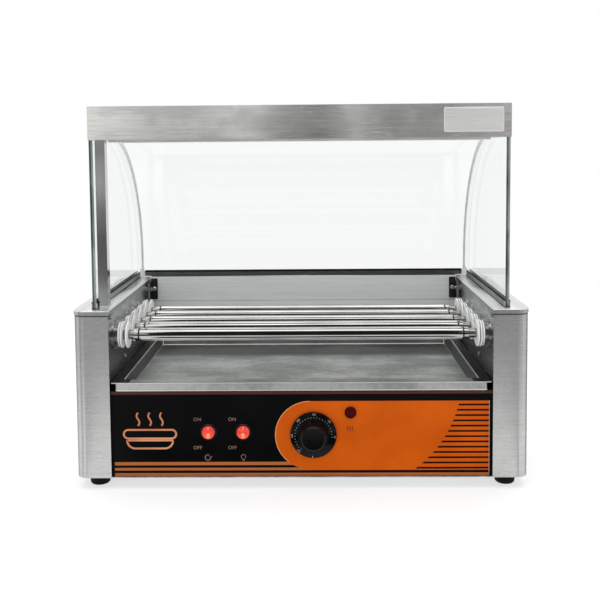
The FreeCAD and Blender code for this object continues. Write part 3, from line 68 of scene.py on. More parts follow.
# The studio
# A pale room lit from above, from behind, by a wide panel at the front left, a strip at each side and two
# small lights behind the camera. Boards that only mirrors see give the polished steel its dark bands.
class Value:
    """One shader socket. Each operator adds one Math node and gives its result as a new Value."""

    def __init__(self, nodes, socket):
        self.nodes = nodes
        self.socket = socket

    def maths(self, operation, first, second=0.0):
        return self.nodes.node("Math", {"operation": operation}, {0: first, 1: second})

    def __add__(self, other):
        return self.maths("ADD", self, other)

    def __sub__(self, other):
        return self.maths("SUBTRACT", self, other)

    def __rsub__(self, other):
        return self.maths("SUBTRACT", other, self)

    def __mul__(self, other):
        return self.maths("MULTIPLY", self, other)

    def __truediv__(self, other):
        return self.maths("DIVIDE", self, other)

    def __gt__(self, other):
        return self.maths("GREATER_THAN", self, other)

    def __lt__(self, other):
        return self.maths("LESS_THAN", self, other)

    def __and__(self, other):
        return self.maths("MINIMUM", self, other)

    def __or__(self, other):
        return self.maths("MAXIMUM", self, other)

    def __abs__(self):
        return self.maths("ABSOLUTE", self)

    __radd__ = __add__
    __rmul__ = __mul__


class Nodes:
    """A tree of shader nodes, built by one method that adds any node."""

    def __init__(self, tree):
        self.tree = tree

    def node(self, kind, settings, sockets, output=0):
        """Adds a node: its settings first, a ramp's stops among them, then its sockets' values or links."""
        node = self.tree.nodes.new("ShaderNode" + kind)
        for name, value in settings.items():
            if name == "stops":
                self.set_stops(node.color_ramp.elements, value)
            else:
                setattr(node, name, value)
        for name, value in sockets.items():
            self.feed(node.inputs[name], value)
        return Value(self, node.outputs[output])

    def set_stops(self, elements, stops):
        """Gives a ramp one stop for each pair of place and colour."""
        for extra in range(len(stops) - len(elements)):
            elements.new(1.0)
        for element, (place, colour) in zip(elements, stops):
            element.position = place
            element.color = colour

    def feed(self, socket, value):
        """Links a Value to a socket, or sets a plain value on it."""
        if isinstance(value, Value):
            self.tree.links.new(value.socket, socket)
        else:
            socket.default_value = value


class Finish(Nodes):
    """A material: a Principled shader and the nodes that feed it."""

    def __init__(self, name, constants):
        self.material = bpy.data.materials.new(name)
        self.material.use_nodes = True
        Nodes.__init__(self, self.material.node_tree)
        self.shader = self.tree.nodes["Principled BSDF"]
        self.output = self.tree.nodes["Material Output"]
        self.place = self.node("TexCoord", {}, {}, "Object")
        self.take(constants)

    def take(self, values):
        """Sets or links the shader's sockets by name."""
        for name, value in values.items():
            self.feed(self.shader.inputs[name], value)

    def axis(self, letter):
        """One Object coordinate, in metres."""
        return self.node("SeparateXYZ", {}, {0: self.place}, letter)

    def facing(self, letter):
        """How far a face looks along an axis, from -1 to 1."""
        return self.node("SeparateXYZ", {}, {0: self.node("TexCoord", {}, {}, "Normal")}, letter)

    def stretched(self, across):
        """The Object coordinates multiplied by a number along each axis."""
        return self.node("VectorMath", {"operation": "MULTIPLY"}, {0: self.place, 1: across})

    def noise(self, across, detail=2.0, roughness=0.5):
        """Cloudy noise from 0 to 1, with so many waves to the metre along each axis."""
        sockets = {"Vector": self.stretched(across), "Scale": 1.0, "Detail": detail, "Roughness": roughness}
        return self.node("TexNoise", {}, sockets)

    def ramp(self, low, high, value):
        """From 0 at low to 1 at high, smoothly."""
        sockets = {"Value": value, "From Min": low, "From Max": high}
        return self.node("MapRange", {"interpolation_type": "SMOOTHSTEP"}, sockets)

    def length(self, first, second):
        """The length of a line that goes so far along two axes."""
        return self.node("Math", {"operation": "SQRT"}, {0: first * first + second * second})

    def blend(self, factor, first, second):
        """The first colour where the factor is 0, the second where it is 1."""
        return self.node("Mix", {"data_type": "RGBA"}, {0: factor, 6: first, 7: second}, 2)

    def bump(self, height, strength, depth):
        """Small hills on the surface, as deep as depth where the height is 1."""
        sockets = {"Height": height, "Strength": strength, "Distance": depth}
        self.take({"Normal": self.node("Bump", {}, sockets)})


def grey(level):
    """A grey of this brightness in light, where 1 is white."""
    return (level, level, level, 1.0)


def softbox(name, place, aim, width, height, power):
    """A flat panel of light at a place, turned to face the aim."""
    light = bpy.data.lights.new(name, "AREA")
    light.shape = "RECTANGLE"
    light.size = width
    light.size_y = height
    light.energy = power
    panel = bpy.data.objects.new(name, light)
    panel.location = place
    panel.rotation_euler = (Vector(aim) - Vector(place)).to_track_quat("-Z", "Y").to_euler()
    bpy.context.collection.objects.link(panel)


def upright(left, right, depth, foot, top):
    """The corners of a board that stands across the view at this depth."""
    return [(left, depth, foot), (right, depth, foot), (right, depth, top), (left, depth, top)]


def lying(reach, depth, next_reach, next_depth, lift):
    """The corners of a level board that reaches so far to both sides at two depths."""
    return [
        (-reach, depth, lift), (reach, depth, lift),
        (next_reach, next_depth, lift), (-next_reach, next_depth, lift),
    ]


def boards(name, corners, finish):
    """Flat four-cornered boards as one piece of the studio, given as [board, corner, xyz]."""
    mesh = bpy.data.meshes.new(name)
    spots = np.array(corners).reshape(-1, 3)
    mesh.from_pydata(spots.tolist(), [], np.arange(len(spots)).reshape(-1, 4).tolist())
    mesh.materials.append(finish.material)
    thing = bpy.data.objects.new(name, mesh)
    bpy.context.collection.objects.link(thing)
    return thing


def mirror_only(thing):
    """Lets a piece of the studio be seen in mirrors only."""
    thing.visible_camera = False
    thing.visible_diffuse = False
    thing.visible_shadow = False


room = bpy.data.worlds.new("room")
room.use_nodes = True
bpy.context.scene.world = room
room_nodes = Nodes(room.node_tree)
room_way = room_nodes.node("TexCoord", {}, {})
room_depth = room_nodes.node("SeparateXYZ", {}, {0: room_way}, 1)
room_height = room_nodes.node("SeparateXYZ", {}, {0: room_way}, 2)
room_over = room_nodes.node(
    "MapRange", {}, {"Value": room_height, "From Min": 0.55, "From Max": 0.75, "To Max": 0.7})
room_stops = [(0.0, grey(0.50)), (0.36, grey(0.55)), (0.62, grey(1.0)), (1.0, grey(1.0))]
room_tone = room_nodes.node("ValToRGB", {"stops": room_stops}, {0: (room_depth * 0.5 + 0.5) | room_over})
room_nodes.feed(room.node_tree.nodes["Background"].inputs["Color"], room_tone)

softbox(
    "softbox_left", place=(-0.75, -1.45, 0.95), aim=(-0.27, 0, 0.45), width=1.33, height=1.2, power=2.75)
softbox(
    "softbox_strip", place=(0.115, -1.32, 0.55), aim=(0.115, 0, 0.55), width=0.06, height=0.30, power=0.045)
softbox(
    "softbox_slit", place=(-0.16, -1.32, 0.56), aim=(-0.16, 0, 0.56), width=0.10, height=0.28, power=0.03)
softbox(
    "softbox_far_right", place=(1.20, -0.45, 0.5), aim=(0.28, -0.1, 0.3), width=0.2, height=1, power=0.35)
softbox(
    "softbox_far_left", place=(-1.27, -0.24, 0.5), aim=(-0.28, -0.1, 0.3), width=0.16, height=1, power=0.3)
softbox("softbox_top", place=(0, 0, 2.0), aim=(0, 0, 0), width=2.6, height=2.2, power=25)

matt = {"Roughness": 1.0, "Specular IOR Level": 0.0}
floor_reach = 6.0
floor_far_start = 0.3
floor_far_end = 1.5
floor_near_start = -4.0
floor_tone = grey(0.40)
floor_light = grey(0.62)
dusk_start = -0.42
dusk_end = -1.5
dusk_lift = 0.001
floor_finish = Finish("floor_white", matt | {"Emission Strength": 1.0})
floor_far = floor_finish.ramp(floor_far_start, floor_far_end, floor_finish.axis("Y"))
floor_near = floor_finish.ramp(floor_near_start, dusk_start, floor_finish.axis("Y"))
floor_glow = floor_finish.blend(floor_near, grey(0.30), floor_light)
floor_finish.take({
    "Base Color": floor_finish.blend(floor_far, floor_tone, grey(0.0)),
    "Emission Color": floor_finish.blend(floor_far, floor_glow, grey(1.0)),
})
boards("floor", lying(floor_reach, -floor_reach, floor_reach, floor_reach, 0), floor_finish)
dusk_finish = Finish("dusk_cloth", matt | {"Emission Strength": 1.0})
dusk_near = dusk_finish.ramp(dusk_end, dusk_start, dusk_finish.axis("Y"))
dusk_finish.take({
    "Base Color": dusk_finish.blend(dusk_near, grey(0.15), floor_tone),
    "Emission Color": dusk_finish.blend(dusk_near, grey(0.05), floor_light),
})
dusk_corners = lying(floor_reach, -floor_reach, floor_reach, dusk_start, dusk_lift)
mirror_only(boards("dusk_board", dusk_corners, dusk_finish))

flag_lift = 0.002
flag_depth = -1.3
flag_reach = 0.50
flag_top = 1.9
slit_foot = 0.42
slit_top = 0.70
slit_bar_left = 0.015
slit_bar_right = 0.075
near_strip_reach = 0.24
near_strip_start = -0.20
near_strip_end = -0.35
far_strip_reach = 0.36
far_strip_start = -0.75
shield_reach = 0.26
shield_depth = -0.4
shield_foot = 0.25
shield_top = 0.335
flag_finish = Finish("black_cloth", matt | {"Base Color": grey(0.02)})
flag_corners = [
    lying(near_strip_reach, near_strip_start, near_strip_reach, near_strip_end, flag_lift),
    lying(far_strip_reach, far_strip_start, flag_reach, flag_depth, flag_lift),
    upright(-flag_reach, flag_reach, flag_depth, flag_lift, slit_foot),
    upright(-flag_reach, flag_reach, flag_depth, slit_top, flag_top),
    upright(slit_bar_left, slit_bar_right, flag_depth, slit_foot, slit_top),
    upright(-shield_reach, shield_reach, shield_depth, shield_foot, shield_top),
]
mirror_only(boards("dark_flag", flag_corners, flag_finish))

wedge_x = 0.275
wedge_y = -0.125
wedge_near = 0.04
wedge_far = 1.6
wedge_turns = {-1: [(13, 26), (50, 66), (128, 150)], 1: [(12, 28), (108, 140)]}


def wedge(side, start, stop):
    """A board on the floor that widens outwards from a housing's front corner, between two angles from the
    front in degrees, on the right for a side of 1 and on the left for -1."""
    turns = np.radians([start, start, stop, stop])
    spans = np.array([wedge_near, wedge_far, wedge_far, wedge_near])
    x = side * (wedge_x + spans * np.sin(turns))
    return np.stack([x, wedge_y - spans * np.cos(turns), np.full(4, flag_lift)], axis=-1)


wedge_finish = Finish("grey_cloth", matt | {
    "Base Color": grey(0.0), "Emission Color": grey(1.0), "Emission Strength": 0.7})
wedge_corners = [wedge(side, *turns) for side, pairs in wedge_turns.items() for turns in pairs]
mirror_only(boards("grey_flag", wedge_corners, wedge_finish))


# The base pan
# A zinc-plated steel sheet that closes the cabinet from below. Everything stands on it.
# The plating has a soft bluish spangle and dull patches.
def screen(red, green, blue):
    """A colour as a screen shows it, from 0 to 255, given as light."""
    levels = np.array([red, green, blue]) / 255.0
    light = np.where(levels < 0.04045, levels / 12.92, ((levels + 0.055) / 1.055) ** 2.4)
    return tuple(float(level) for level in light) + (1.0,)


def dress(finish, *names):
    """Gives CAD nodes this finish."""
    for name in names:
        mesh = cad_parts[name].data
        mesh.materials.clear()
        mesh.materials.append(finish.material)


def plated(name, dark, light, roughness):
    """Plated or bare steel: patches between two tones as a screen shows them, duller where it is dark."""
    finish = Finish(name, {"Metallic": 1.0})
    patches = finish.noise((90, 90, 90), detail=4.0, roughness=0.6)
    specks = finish.noise((900, 900, 900))
    finish.take({
        "Base Color": finish.blend(finish.ramp(0.3, 0.7, patches), screen(*dark), screen(*light)),
        "Roughness": roughness + 0.25 * (0.5 - patches) + 0.10 * (specks - 0.5),
    })
    finish.bump(specks, 0.15, 0.2 * mm)
    return finish


zinc = plated("zinc_plate", (150, 154, 160), (196, 199, 203), roughness=0.42)
dress(zinc, "base_pan")


# The feet
# Four moulded rubber feet under the corners, each held by a pan-head screw from below.
# The rubber is matt, a little dusty, with a fine moulded grain.
def moulded(name, roughness, grain, depth):
    """A moulded surface without its colour: a shine that drifts slowly, and a fine grain that lifts it.
    The drift is given back too."""
    finish = Finish(name, {})
    drift = finish.noise((25, 25, 25), detail=3.0)
    specks = finish.noise((grain, grain, grain), roughness=0.6)
    finish.take({"Roughness": roughness + 0.15 * (drift - 0.5) + 0.12 * (specks - 0.5)})
    finish.bump(specks, 0.3, depth)
    return finish, drift


def plastic(name, dark, light, roughness, grain, depth):
    """Moulded plastic or rubber, paint or ink: a moulded surface that drifts between two tones."""
    finish, drift = moulded(name, roughness, grain, depth)
    finish.take({"Base Color": finish.blend(finish.ramp(0.35, 0.7, drift), screen(*dark), screen(*light))})
    return finish


rubber = plastic("foot_rubber", (6, 6, 7), (16, 16, 17), roughness=0.75, grain=1500, depth=0.15 * mm)
rubber.take({"Specular IOR Level": 0.2})
dress(rubber, "rubber_feet")
dress(zinc, "foot_screws")


# The side housings
# Two folded boxes of stainless sheet with round front and rear corners, brushed along the
# fold, each closed by a pressed cap on top and a flat plate towards the cooking space.
def brushed(name, dark, light, roughness, grain, shade=None, turn=0.25):
    """Brushed stainless: streaks drawn out along the brushing, in a fine and a broad size, under faint hand
    marks. The grain gives the waves to the metre along each axis for the fine streaks. A shade is given the
    finish and gives back how dark each place is, from 0 to 1. Highlights are drawn out upright, or level
    with a turn of 0."""
    finish = Finish(name, {"Metallic": 1.0, "Anisotropic": 0.9, "Anisotropic Rotation": turn})
    fine = finish.noise(grain, detail=3.0, roughness=0.65)
    broad = finish.noise(tuple(0.2 * wave for wave in grain), roughness=0.6)
    marks = finish.noise((14, 14, 14), detail=3.0, roughness=0.55)
    streaks = 0.75 * fine + 0.25 * broad
    tone = finish.blend(finish.ramp(0.32, 0.68, streaks), screen(*dark), screen(*light))
    if shade:
        tone = finish.blend(shade(finish), tone, grey(0.0))
    finish.take({
        "Base Color": tone,
        "Roughness": roughness + 0.22 * (fine - 0.5) + 0.18 * (marks - 0.5),
    })
    finish.bump(fine, 0.10, 0.2 * mm)
    return finish


lip_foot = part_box("left_housing_cap")[0][2]
cap_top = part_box("left_housing_cap")[1][2]
lip_shadow_share = 0.27
lip_shadow_line_share = 0.6
lip_shadow_line_start = lip_foot - 2.2 * mm
lip_shadow_line_end = lip_foot - 1.4 * mm
cap_lip_shade_share = 0.5
cap_bend_start = cap_top - 1.6 * mm
cap_bend_end = cap_top - 0.3 * mm
plate_shadow_share = 0.8
plate_shadow_foot = 130 * mm
plate_shadow_top = 228 * mm


def under_lip(finish):
    """Painted shade: a soft shadow darkening up the housing, and a shadow line under the cap's lip."""
    height = finish.axis("Z")
    rise = finish.ramp(0.1 * lip_foot, 0.9 * lip_foot, height)
    return lip_shadow_share * rise + lip_shadow_line_share * finish.ramp(lip_shadow_line_start, lip_shadow_line_end, height)


def below_top(finish):
    """Painted shade: dark on the lip that hangs down round the cap, clear on its top."""
    return cap_lip_shade_share * (1 - finish.ramp(cap_bend_start, cap_bend_end, finish.axis("Z")))


def below_rollers(finish):
    """Dark low down beside the drip tray, where little light comes between the rollers."""
    return plate_shadow_share * (1 - finish.ramp(plate_shadow_foot, plate_shadow_top, finish.axis("Z")))


housing_steel = brushed(
    "housing_steel", (184, 186, 185), (211, 212, 210),
    roughness=0.27, grain=(95, 95, 2200), shade=under_lip)
housing_steel.take({"Specular Tint": grey(0.45)})
dress(housing_steel, "left_housing_shell", "right_housing_shell")
cap_steel = brushed(
    "cap_steel", (212, 214, 213), (230, 231, 229),
    roughness=0.30, grain=(1500, 25, 1500), shade=below_top)
dress(cap_steel, "left_housing_cap", "right_housing_cap")
plate_steel = brushed(
    "side_plate_steel", (166, 169, 169), (184, 186, 186),
    roughness=0.24, grain=(25, 25, 1300), shade=below_rollers)
dress(plate_steel, "left_side_plate", "right_side_plate")


# The rear panel
# A stainless sheet that closes the cabinet behind the rollers, folded back along its edges,
# brushed crosswise and held to the side plates by two angle brackets, black with a bare leg, and screws.
rear_fold = 194.0 * mm
rear_fold_half = 0.7 * mm
rear_fold_shadow_share = 0.3
rear_outside_shade_share = 0.45
rear_front = 133.3 * mm
rear_skin = rear_front + 0.3 * mm


def rear_inside(finish):
    """1 on the face towards the rollers, 0 on the outside and the folds."""
    return finish.axis("Y") < rear_skin


def rear_line(finish):
    """Painted shade: a thin shadow along the fold, and the outside darker than the face towards the
    rollers.
    """
    fold = abs(finish.axis("Z") - rear_fold) < rear_fold_half
    return rear_fold_shadow_share * fold | rear_outside_shade_share * (1 - rear_inside(finish))


# Painted light: the face towards the rollers takes this near-white tone, matt, as if brightly lit.
rear_steel = brushed(
    "rear_panel_steel", (236, 240, 239), (252, 254, 252),
    roughness=0.50, grain=(25, 25, 1300), shade=rear_line)
rear_steel.take({"Metallic": 1 - rear_inside(rear_steel)})
dress(rear_steel, "rear_panel")
bracket_leg_start = 241.0 * mm
bracket_paint = moulded("bracket_paint", roughness=0.45, grain=700, depth=0.1 * mm)[0]
bracket_cloud = bracket_paint.noise((90, 90, 90))
bracket_tone = bracket_paint.blend(bracket_cloud, screen(18, 18, 19), screen(38, 38, 39))
bracket_bare = bracket_paint.blend(bracket_cloud, screen(130, 132, 132), screen(170, 172, 171))
bracket_leg = abs(bracket_paint.axis("X")) > bracket_leg_start
bracket_paint.take({"Base Color": bracket_paint.blend(bracket_leg, bracket_tone, bracket_bare)})
dress(bracket_paint, "rear_panel_brackets")
screw_steel = plated("screw_steel", (150, 150, 148), (205, 204, 200), roughness=0.28)
dress(screw_steel, "cabinet_screws")


# The mains entry
# A black nylon gland in the rear panel and, inside, a white terminal block on the base pan.
gland_nylon = plastic("gland_nylon", (20, 20, 21), (40, 40, 42), roughness=0.5, grain=900, depth=0.1 * mm)
dress(gland_nylon, "cable_gland")
block_plastic = plastic(
    "terminal_plastic", (206, 203, 192), (226, 224, 216), roughness=0.5, grain=700, depth=0.05 * mm)
dress(block_plastic, "terminal_block")


# The roller drive
# A painted gear motor on a zinc bracket inside the right housing turns a sprocket, and an
# oiled roller chain takes the turn up to the sprockets on the ends of the five rollers.
motor_paint = plastic(
    "motor_paint", (52, 56, 60), (78, 82, 86), roughness=0.42, grain=600, depth=0.15 * mm)
dress(motor_paint, "gear_motor")
dress(zinc, "motor_bracket")
shaft_steel = plated("shaft_steel", (140, 141, 143), (188, 188, 189), roughness=0.30)
dress(shaft_steel, "motor_shaft", "drive_sprocket")
chain_steel = plated("chain_steel", (70, 66, 60), (128, 124, 116), roughness=0.38)
dress(chain_steel, "drive_chain")


# The heating rods
# Five sheathed heating rods, one through each hollow roller, held at both ends by zinc
# strips. The sheath has the straw and brown colours of hot steel.
sheath = Finish("heater_sheath", {"Metallic": 1.0})
sheath_heat = sheath.noise((12, 60, 60), detail=3.0)
sheath_share = sheath.ramp(0.35, 0.7, sheath_heat)
sheath.take({
    "Base Color": sheath.blend(sheath_share, screen(96, 82, 66), screen(150, 132, 104)),
    "Roughness": 0.42 + 0.2 * (sheath_heat - 0.5),
})
sheath.bump(sheath.noise((700, 700, 700)), 0.2, 0.1 * mm)
dress(sheath, "heating_elements")
dress(zinc, "heater_supports")


# The thermostat
# A brown moulded switch block behind the panel, a steel spindle out to the knob, and a
# copper bulb that feels the heat on the left side plate.
thermostat_moulding = plastic(
    "thermostat_moulding", (58, 38, 26), (84, 58, 42), roughness=0.45, grain=600, depth=0.1 * mm)
dress(thermostat_moulding, "thermostat_body")
dress(shaft_steel, "thermostat_spindle")
copper = plated("bulb_copper", (150, 86, 56), (206, 136, 98), roughness=0.32)
dress(copper, "thermostat_bulb")


# The drip tray
# A shallow stainless pan that slides out to the front on two runners above a deck plate.
# Its floor is dull and smudged from heat, fat and wiping. Painted highlights run along its folds,
# front rim, hem and a line near the back, and painted shade darkens its far floor, flanges, rear wall and
# skirt.
dress(plate_steel, "deck_plate", "tray_runners")
tray_low, tray_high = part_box("drip_tray")
tray_crease = tray_high[0] - 13.0 * mm
tray_foot = tray_crease - 9.0 * mm
tray_foot_highlight_share = 0.55
tray_pan = tray_low[1] + 17.0 * mm
tray_line_half = 0.45 * mm
tray_rear_line = tray_high[1] - 22.0 * mm
tray_rear_highlight_share = 0.5
tray_rear_wall = tray_high[1] - 21.0 * mm
tray_rear_shade_share = 0.93
tray_skirt_back = tray_low[1] + 3.0 * mm
tray_skirt_shade_share = 0.35
tray_hem_top = tray_low[2] + 1.2 * mm
tray_rim_back = tray_low[1] + 0.4 * mm
tray_rim_foot = tray_high[2] - 1.0 * mm
tray_shadow_start = 24.0 * mm
tray_shadow_end = 52.0 * mm
tray_shadow_share = 0.72
tray_flange_shade_share = 0.88
tray = Finish("tray_steel", {"Metallic": 1.0})
tray_side = abs(tray.axis("X"))
tray_depth = tray.axis("Y")
tray_height = tray.axis("Z")


def tray_near(value, place):
    """1 within half a line's width of a place."""
    return abs(value - place) < tray_line_half


tray_cloud = tray.noise((9, 16, 9), detail=5.0, roughness=0.6)
tray_wipes = tray.noise((7, 220, 220), detail=3.0, roughness=0.6)
tray_dots = tray.noise((130, 130, 130), detail=4.0, roughness=0.7)
tray_dirt = 0.68 * tray_cloud + 0.12 * tray_wipes + 0.20 * tray_dots
# Painted highlights: pale lines along the folds, the front rim, the hem and a line near the back.
tray_fold_highlight = tray_near(tray_side, tray_crease) | tray_foot_highlight_share * tray_near(tray_side, tray_foot)
tray_fold_highlight = tray_fold_highlight & (tray_depth > tray_pan)
tray_back_highlight = tray_rear_highlight_share * tray_near(tray_depth, tray_rear_line) * (tray_side < tray_foot)
tray_skirt = tray_depth < tray_skirt_back
tray_hem = (tray_height < tray_hem_top) & tray_skirt
tray_rim = (tray_depth < tray_rim_back) & (tray_height > tray_rim_foot)
tray_painted_highlight = tray_fold_highlight | tray_back_highlight | tray_hem | tray_rim
# Painted shade: the far floor, the side flanges, the rear wall and the front skirt are darkened.
tray_painted_shade = tray_shadow_share * tray.ramp(tray_shadow_start, tray_shadow_end, tray_depth)
tray_painted_shade = tray_painted_shade | tray_flange_shade_share * (tray_side > tray_foot)
tray_painted_shade = tray_painted_shade | tray_rear_shade_share * (tray_depth > tray_rear_wall)
tray_painted_shade = (tray_painted_shade * (1 - tray_skirt) + tray_skirt_shade_share * tray_skirt) * (1 - tray_painted_highlight)
tray_tone = tray.blend(tray.ramp(0.38, 0.62, tray_dirt), screen(186, 187, 186), screen(246, 247, 245))
tray_tone = tray.blend(tray_painted_highlight, tray_tone, screen(252, 252, 250))
tray.take({
    "Base Color": tray.blend(tray_painted_shade, tray_tone, grey(0.0)),
    "Roughness": 0.30 + 0.40 * (tray_dirt - 0.4) + 0.2 * tray_painted_highlight,
})
tray.bump(0.7 * tray_wipes + 0.3 * tray_dots, 0.12, 0.3 * mm)
dress(tray, "drip_tray")


# The control panel
# A folded steel front with a printed plastic film on it: black on the left, an orange field
# with a round end about the dial, and black lines that fan out along the field's right end.
dress(zinc, "control_panel")

film = Finish("printed_film", {"Specular IOR Level": 0.05})
film_x = film.axis("X")
film_z = film.axis("Z")
film_field_middle = 69.0 * mm
film_field_radius = 44.4 * mm
film_field_start = 11.0 * mm
film_field_top = 113.3 * mm
film_field_foot = 23.3 * mm
film_band_top = 122.4 * mm
film_foot_line = 19.9 * mm
film_edge = 239.6 * mm
film_line_width = 0.9 * mm


def film_between(value, low, high):
    """1 where the value lies between low and high, otherwise 0."""
    return (value > low) & (value < high)


film_end = film.length(film_x - film_field_start, film_z - film_field_middle)
film_body = (film_x > film_field_start) & film_between(film_z, film_field_foot, film_field_top)
film_field = film_body | (film_end < film_field_radius)

film_stripe_foot = 30.1 * mm
film_stripe_top = 34.4 * mm
film_low_stripe_top = 26.8 * mm
film_wedge_end = -8.0 * mm
film_left = film_x < film_field_start
film_stripe = film_left & film_between(film_z, film_stripe_foot, film_stripe_top)
film_low_stripe = film_left & film_between(film_z, film_field_foot, film_low_stripe_top)
film_wedge_slant = film_x + film_z - film_low_stripe_top
film_wedge = film_between(film_z, film_low_stripe_top, film_stripe_foot)
film_wedge = film_wedge & (film_wedge_slant < film_wedge_end)
film_foot_strip = film_z < film_foot_line
# Painted shadow: the orange strip along the top is dark brown, as in shadow under the drip tray's lip.
film_tray_shadow_strip = film_z > film_band_top

film_fan_x = 52.7 * mm
film_fan_z = 145.5 * mm
film_fan_radius = 152.2 * mm
film_fan_top = 109.3 * mm
film_fan_pitch = 6.84 * mm
film_fan_share = 0.34
film_fan_step = film.node("Math", {"operation": "FRACT"}, {0: (film_fan_top - film_z) / film_fan_pitch})
film_fan_span = film.length(film_x - film_fan_x, film_z - film_fan_z)
film_fan = (film_fan_span > film_fan_radius) & (film_fan_step < film_fan_share) & film_body

film_orange = film_field | film_stripe | film_low_stripe | film_foot_strip
film_black = film_wedge | film_fan | (abs(film_x) > film_edge)
film_ink = film_orange * (1 - film_black)
film_keyline = film_between(film_end, film_field_radius - film_line_width, film_field_radius) & film_left
film_keyline = film_keyline & (film_z > film_stripe_top)
# Painted highlight: a pale line along the right edge of the orange field, where the film's edge catches
# light.
film_rim = film_between(film_x, film_edge - film_line_width, film_edge)
film_rim = film_rim & film_between(film_z, film_foot_line, film_field_top)
film_rim_highlight_share = 0.6
film_worn = (film_stripe | film_low_stripe | film_foot_strip) * (1 - film_field)
film_worn_share = 0.8
film_drift = film.noise((18, 18, 18), detail=3.0)
film_grain = film.noise((1400, 1400, 1400))
film_warm = film.blend(film.ramp(0.3, 0.7, film_drift), screen(198, 83, 6), screen(212, 93, 9))
film_dark = film.blend(film.ramp(0.3, 0.7, film_drift), screen(6, 6, 8), screen(11, 11, 13))
film_print = film.blend(film_ink, film_dark, film_warm)
# The top strip takes its painted shadow colour.
film_print = film.blend(film_tray_shadow_strip, film_print, screen(84, 44, 36))
film_print = film.blend(film_worn * film_ink * film_worn_share, film_print, screen(170, 106, 62))
# The painted highlight on the film's right edge.
film_print = film.blend(film_rim * film_rim_highlight_share, film_print, screen(196, 178, 160))
film.take({
    "Base Color": film.blend(film_keyline, film_print, screen(222, 158, 104)),
    "Roughness": 0.34 + 0.12 * (film_grain - 0.5) + 0.10 * (film_drift - 0.5),
})
film.bump(film_grain, 0.10, 0.05 * mm)
dress(film, "panel_overlay")
film_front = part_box("panel_overlay")[0][1]


# The marks on the film
# Screen-printed ink: the two states beside each switch, a small sign under each switch and
# under the lamp for what it works, and a pictogram of a hot dog at the left.
def piece(name, mesh, finish, body):
    """Puts a finished mesh in the scene and lets it ride on a body."""
    mesh.materials.append(finish.material)
    thing = bpy.data.objects.new(name, mesh)
    bpy.context.collection.objects.link(thing)
    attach(thing, body)


def surface(name, points, finish, body, closed_rows=False, closed_columns=False, ends=False):
    """A piece from grids of points, [grid, row, column, xyz]: four neighbouring points make one face. A
    closed direction joins its last points to its first, and ends caps the first and last row with one face
    each."""
    grids, rows, columns = points.shape[:3]
    index = np.arange(grids * rows * columns).reshape(grids, rows, columns)
    caps = np.concatenate([index[:, 0, ::-1], index[:, -1]]).tolist() if ends else []
    if closed_rows:
        index = np.concatenate([index, index[:, :1]], axis=1)
    if closed_columns:
        index = np.concatenate([index, index[:, :, :1]], axis=2)
    corners = [index[:, :-1, :-1], index[:, :-1, 1:], index[:, 1:, 1:], index[:, 1:, :-1]]
    faces = np.stack(corners, axis=-1).reshape(-1, 4).tolist()
    mesh = bpy.data.meshes.new(name)
    mesh.from_pydata(points.reshape(-1, 3).tolist(), [], faces + caps)
    shape = bmesh.new()
    shape.from_mesh(mesh)
    bmesh.ops.remove_doubles(shape, verts=shape.verts, dist=0.0005 * mm)
    bmesh.ops.recalc_face_normals(shape, faces=shape.faces)
    shape.to_mesh(mesh)
    shape.free()
    piece(name, mesh, finish, body)


ink_lift = 0.12 * mm


def ribbon(name, paths, width, closed, finish, body, lay):
    """Flat bars of ink: a rectangle as wide as width and as thick as the ink is carried along each path
    [path, point, x and z], across it by the path's own normal. lay takes x, z and the lift from the face
    and gives the places on the machine."""
    if closed:
        run = np.roll(paths, -1, axis=1) - np.roll(paths, 1, axis=1)
    else:
        run = np.gradient(paths, axis=1)
    run = run / np.linalg.norm(run, axis=2, keepdims=True)
    across = np.stack([-run[..., 1], run[..., 0]], axis=-1) * width / 2
    flat = np.stack([paths - across, paths + across, paths + across, paths - across], axis=2)
    lift = np.broadcast_to(ink_lift * np.array([-1.0, -1.0, 1.0, 1.0]), flat.shape[:3])
    points = lay(flat[..., 0], flat[..., 1], lift)
    surface(name, points, finish, body, closed_rows=closed, closed_columns=True, ends=not closed)


def letters(name, text, height, finish, body, lay):
    """Flat letters as a mesh: lay takes their own x, y and z, centred, and gives their places on the
    machine."""
    curve = bpy.data.curves.new(name, "FONT")
    curve.body = text
    curve.size = height
    curve.align_x = "CENTER"
    curve.align_y = "CENTER"
    curve.extrude = ink_lift
    holder = bpy.data.objects.new(name + "_outline", curve)
    mesh = bpy.data.meshes.new_from_object(holder)
    bpy.data.objects.remove(holder)
    bpy.data.curves.remove(curve)
    spots = np.empty(len(mesh.vertices) * 3)
    mesh.vertices.foreach_get("co", spots)
    spots = spots.reshape(-1, 3)
    mesh.vertices.foreach_set("co", lay(spots[:, 0], spots[:, 1], spots[:, 2]).ravel())
    mesh.materials.clear()
    mesh.name = name
    piece(name, mesh, finish, body)


def arc(x, z, radius, start, stop, count):
    """Points on a circle about x and z from the start angle to the stop angle, in degrees."""
    turn = np.radians(np.linspace(start, stop, count))
    return np.stack([x + radius * np.cos(turn), z + radius * np.sin(turn)], axis=-1)


def waves(places, foot, rise, swing):
    """Upright wavy lines: a sine of one wave that swings so far to each side, at each place along x."""
    share = np.linspace(0, 1, 17)
    x = np.array(places)[:, None] + swing * np.sin(2 * np.pi * share)
    return np.stack([x, np.broadcast_to(foot + rise * share, x.shape)], axis=-1)


def on_film(x, z, lift):
    """A point of the film, lifted towards the front."""
    return np.stack([x, film_front - lift, z], axis=-1)


def film_mark(name, paths, width, finish, closed=False):
    """Bars of ink on the film."""
    ribbon(name, paths, width, closed, finish, "chassis", on_film)


def ink(name, dark, light):
    """Dull printing ink with a very fine grain."""
    return plastic(name, dark, light, roughness=0.5, grain=1200, depth=0.02 * mm)


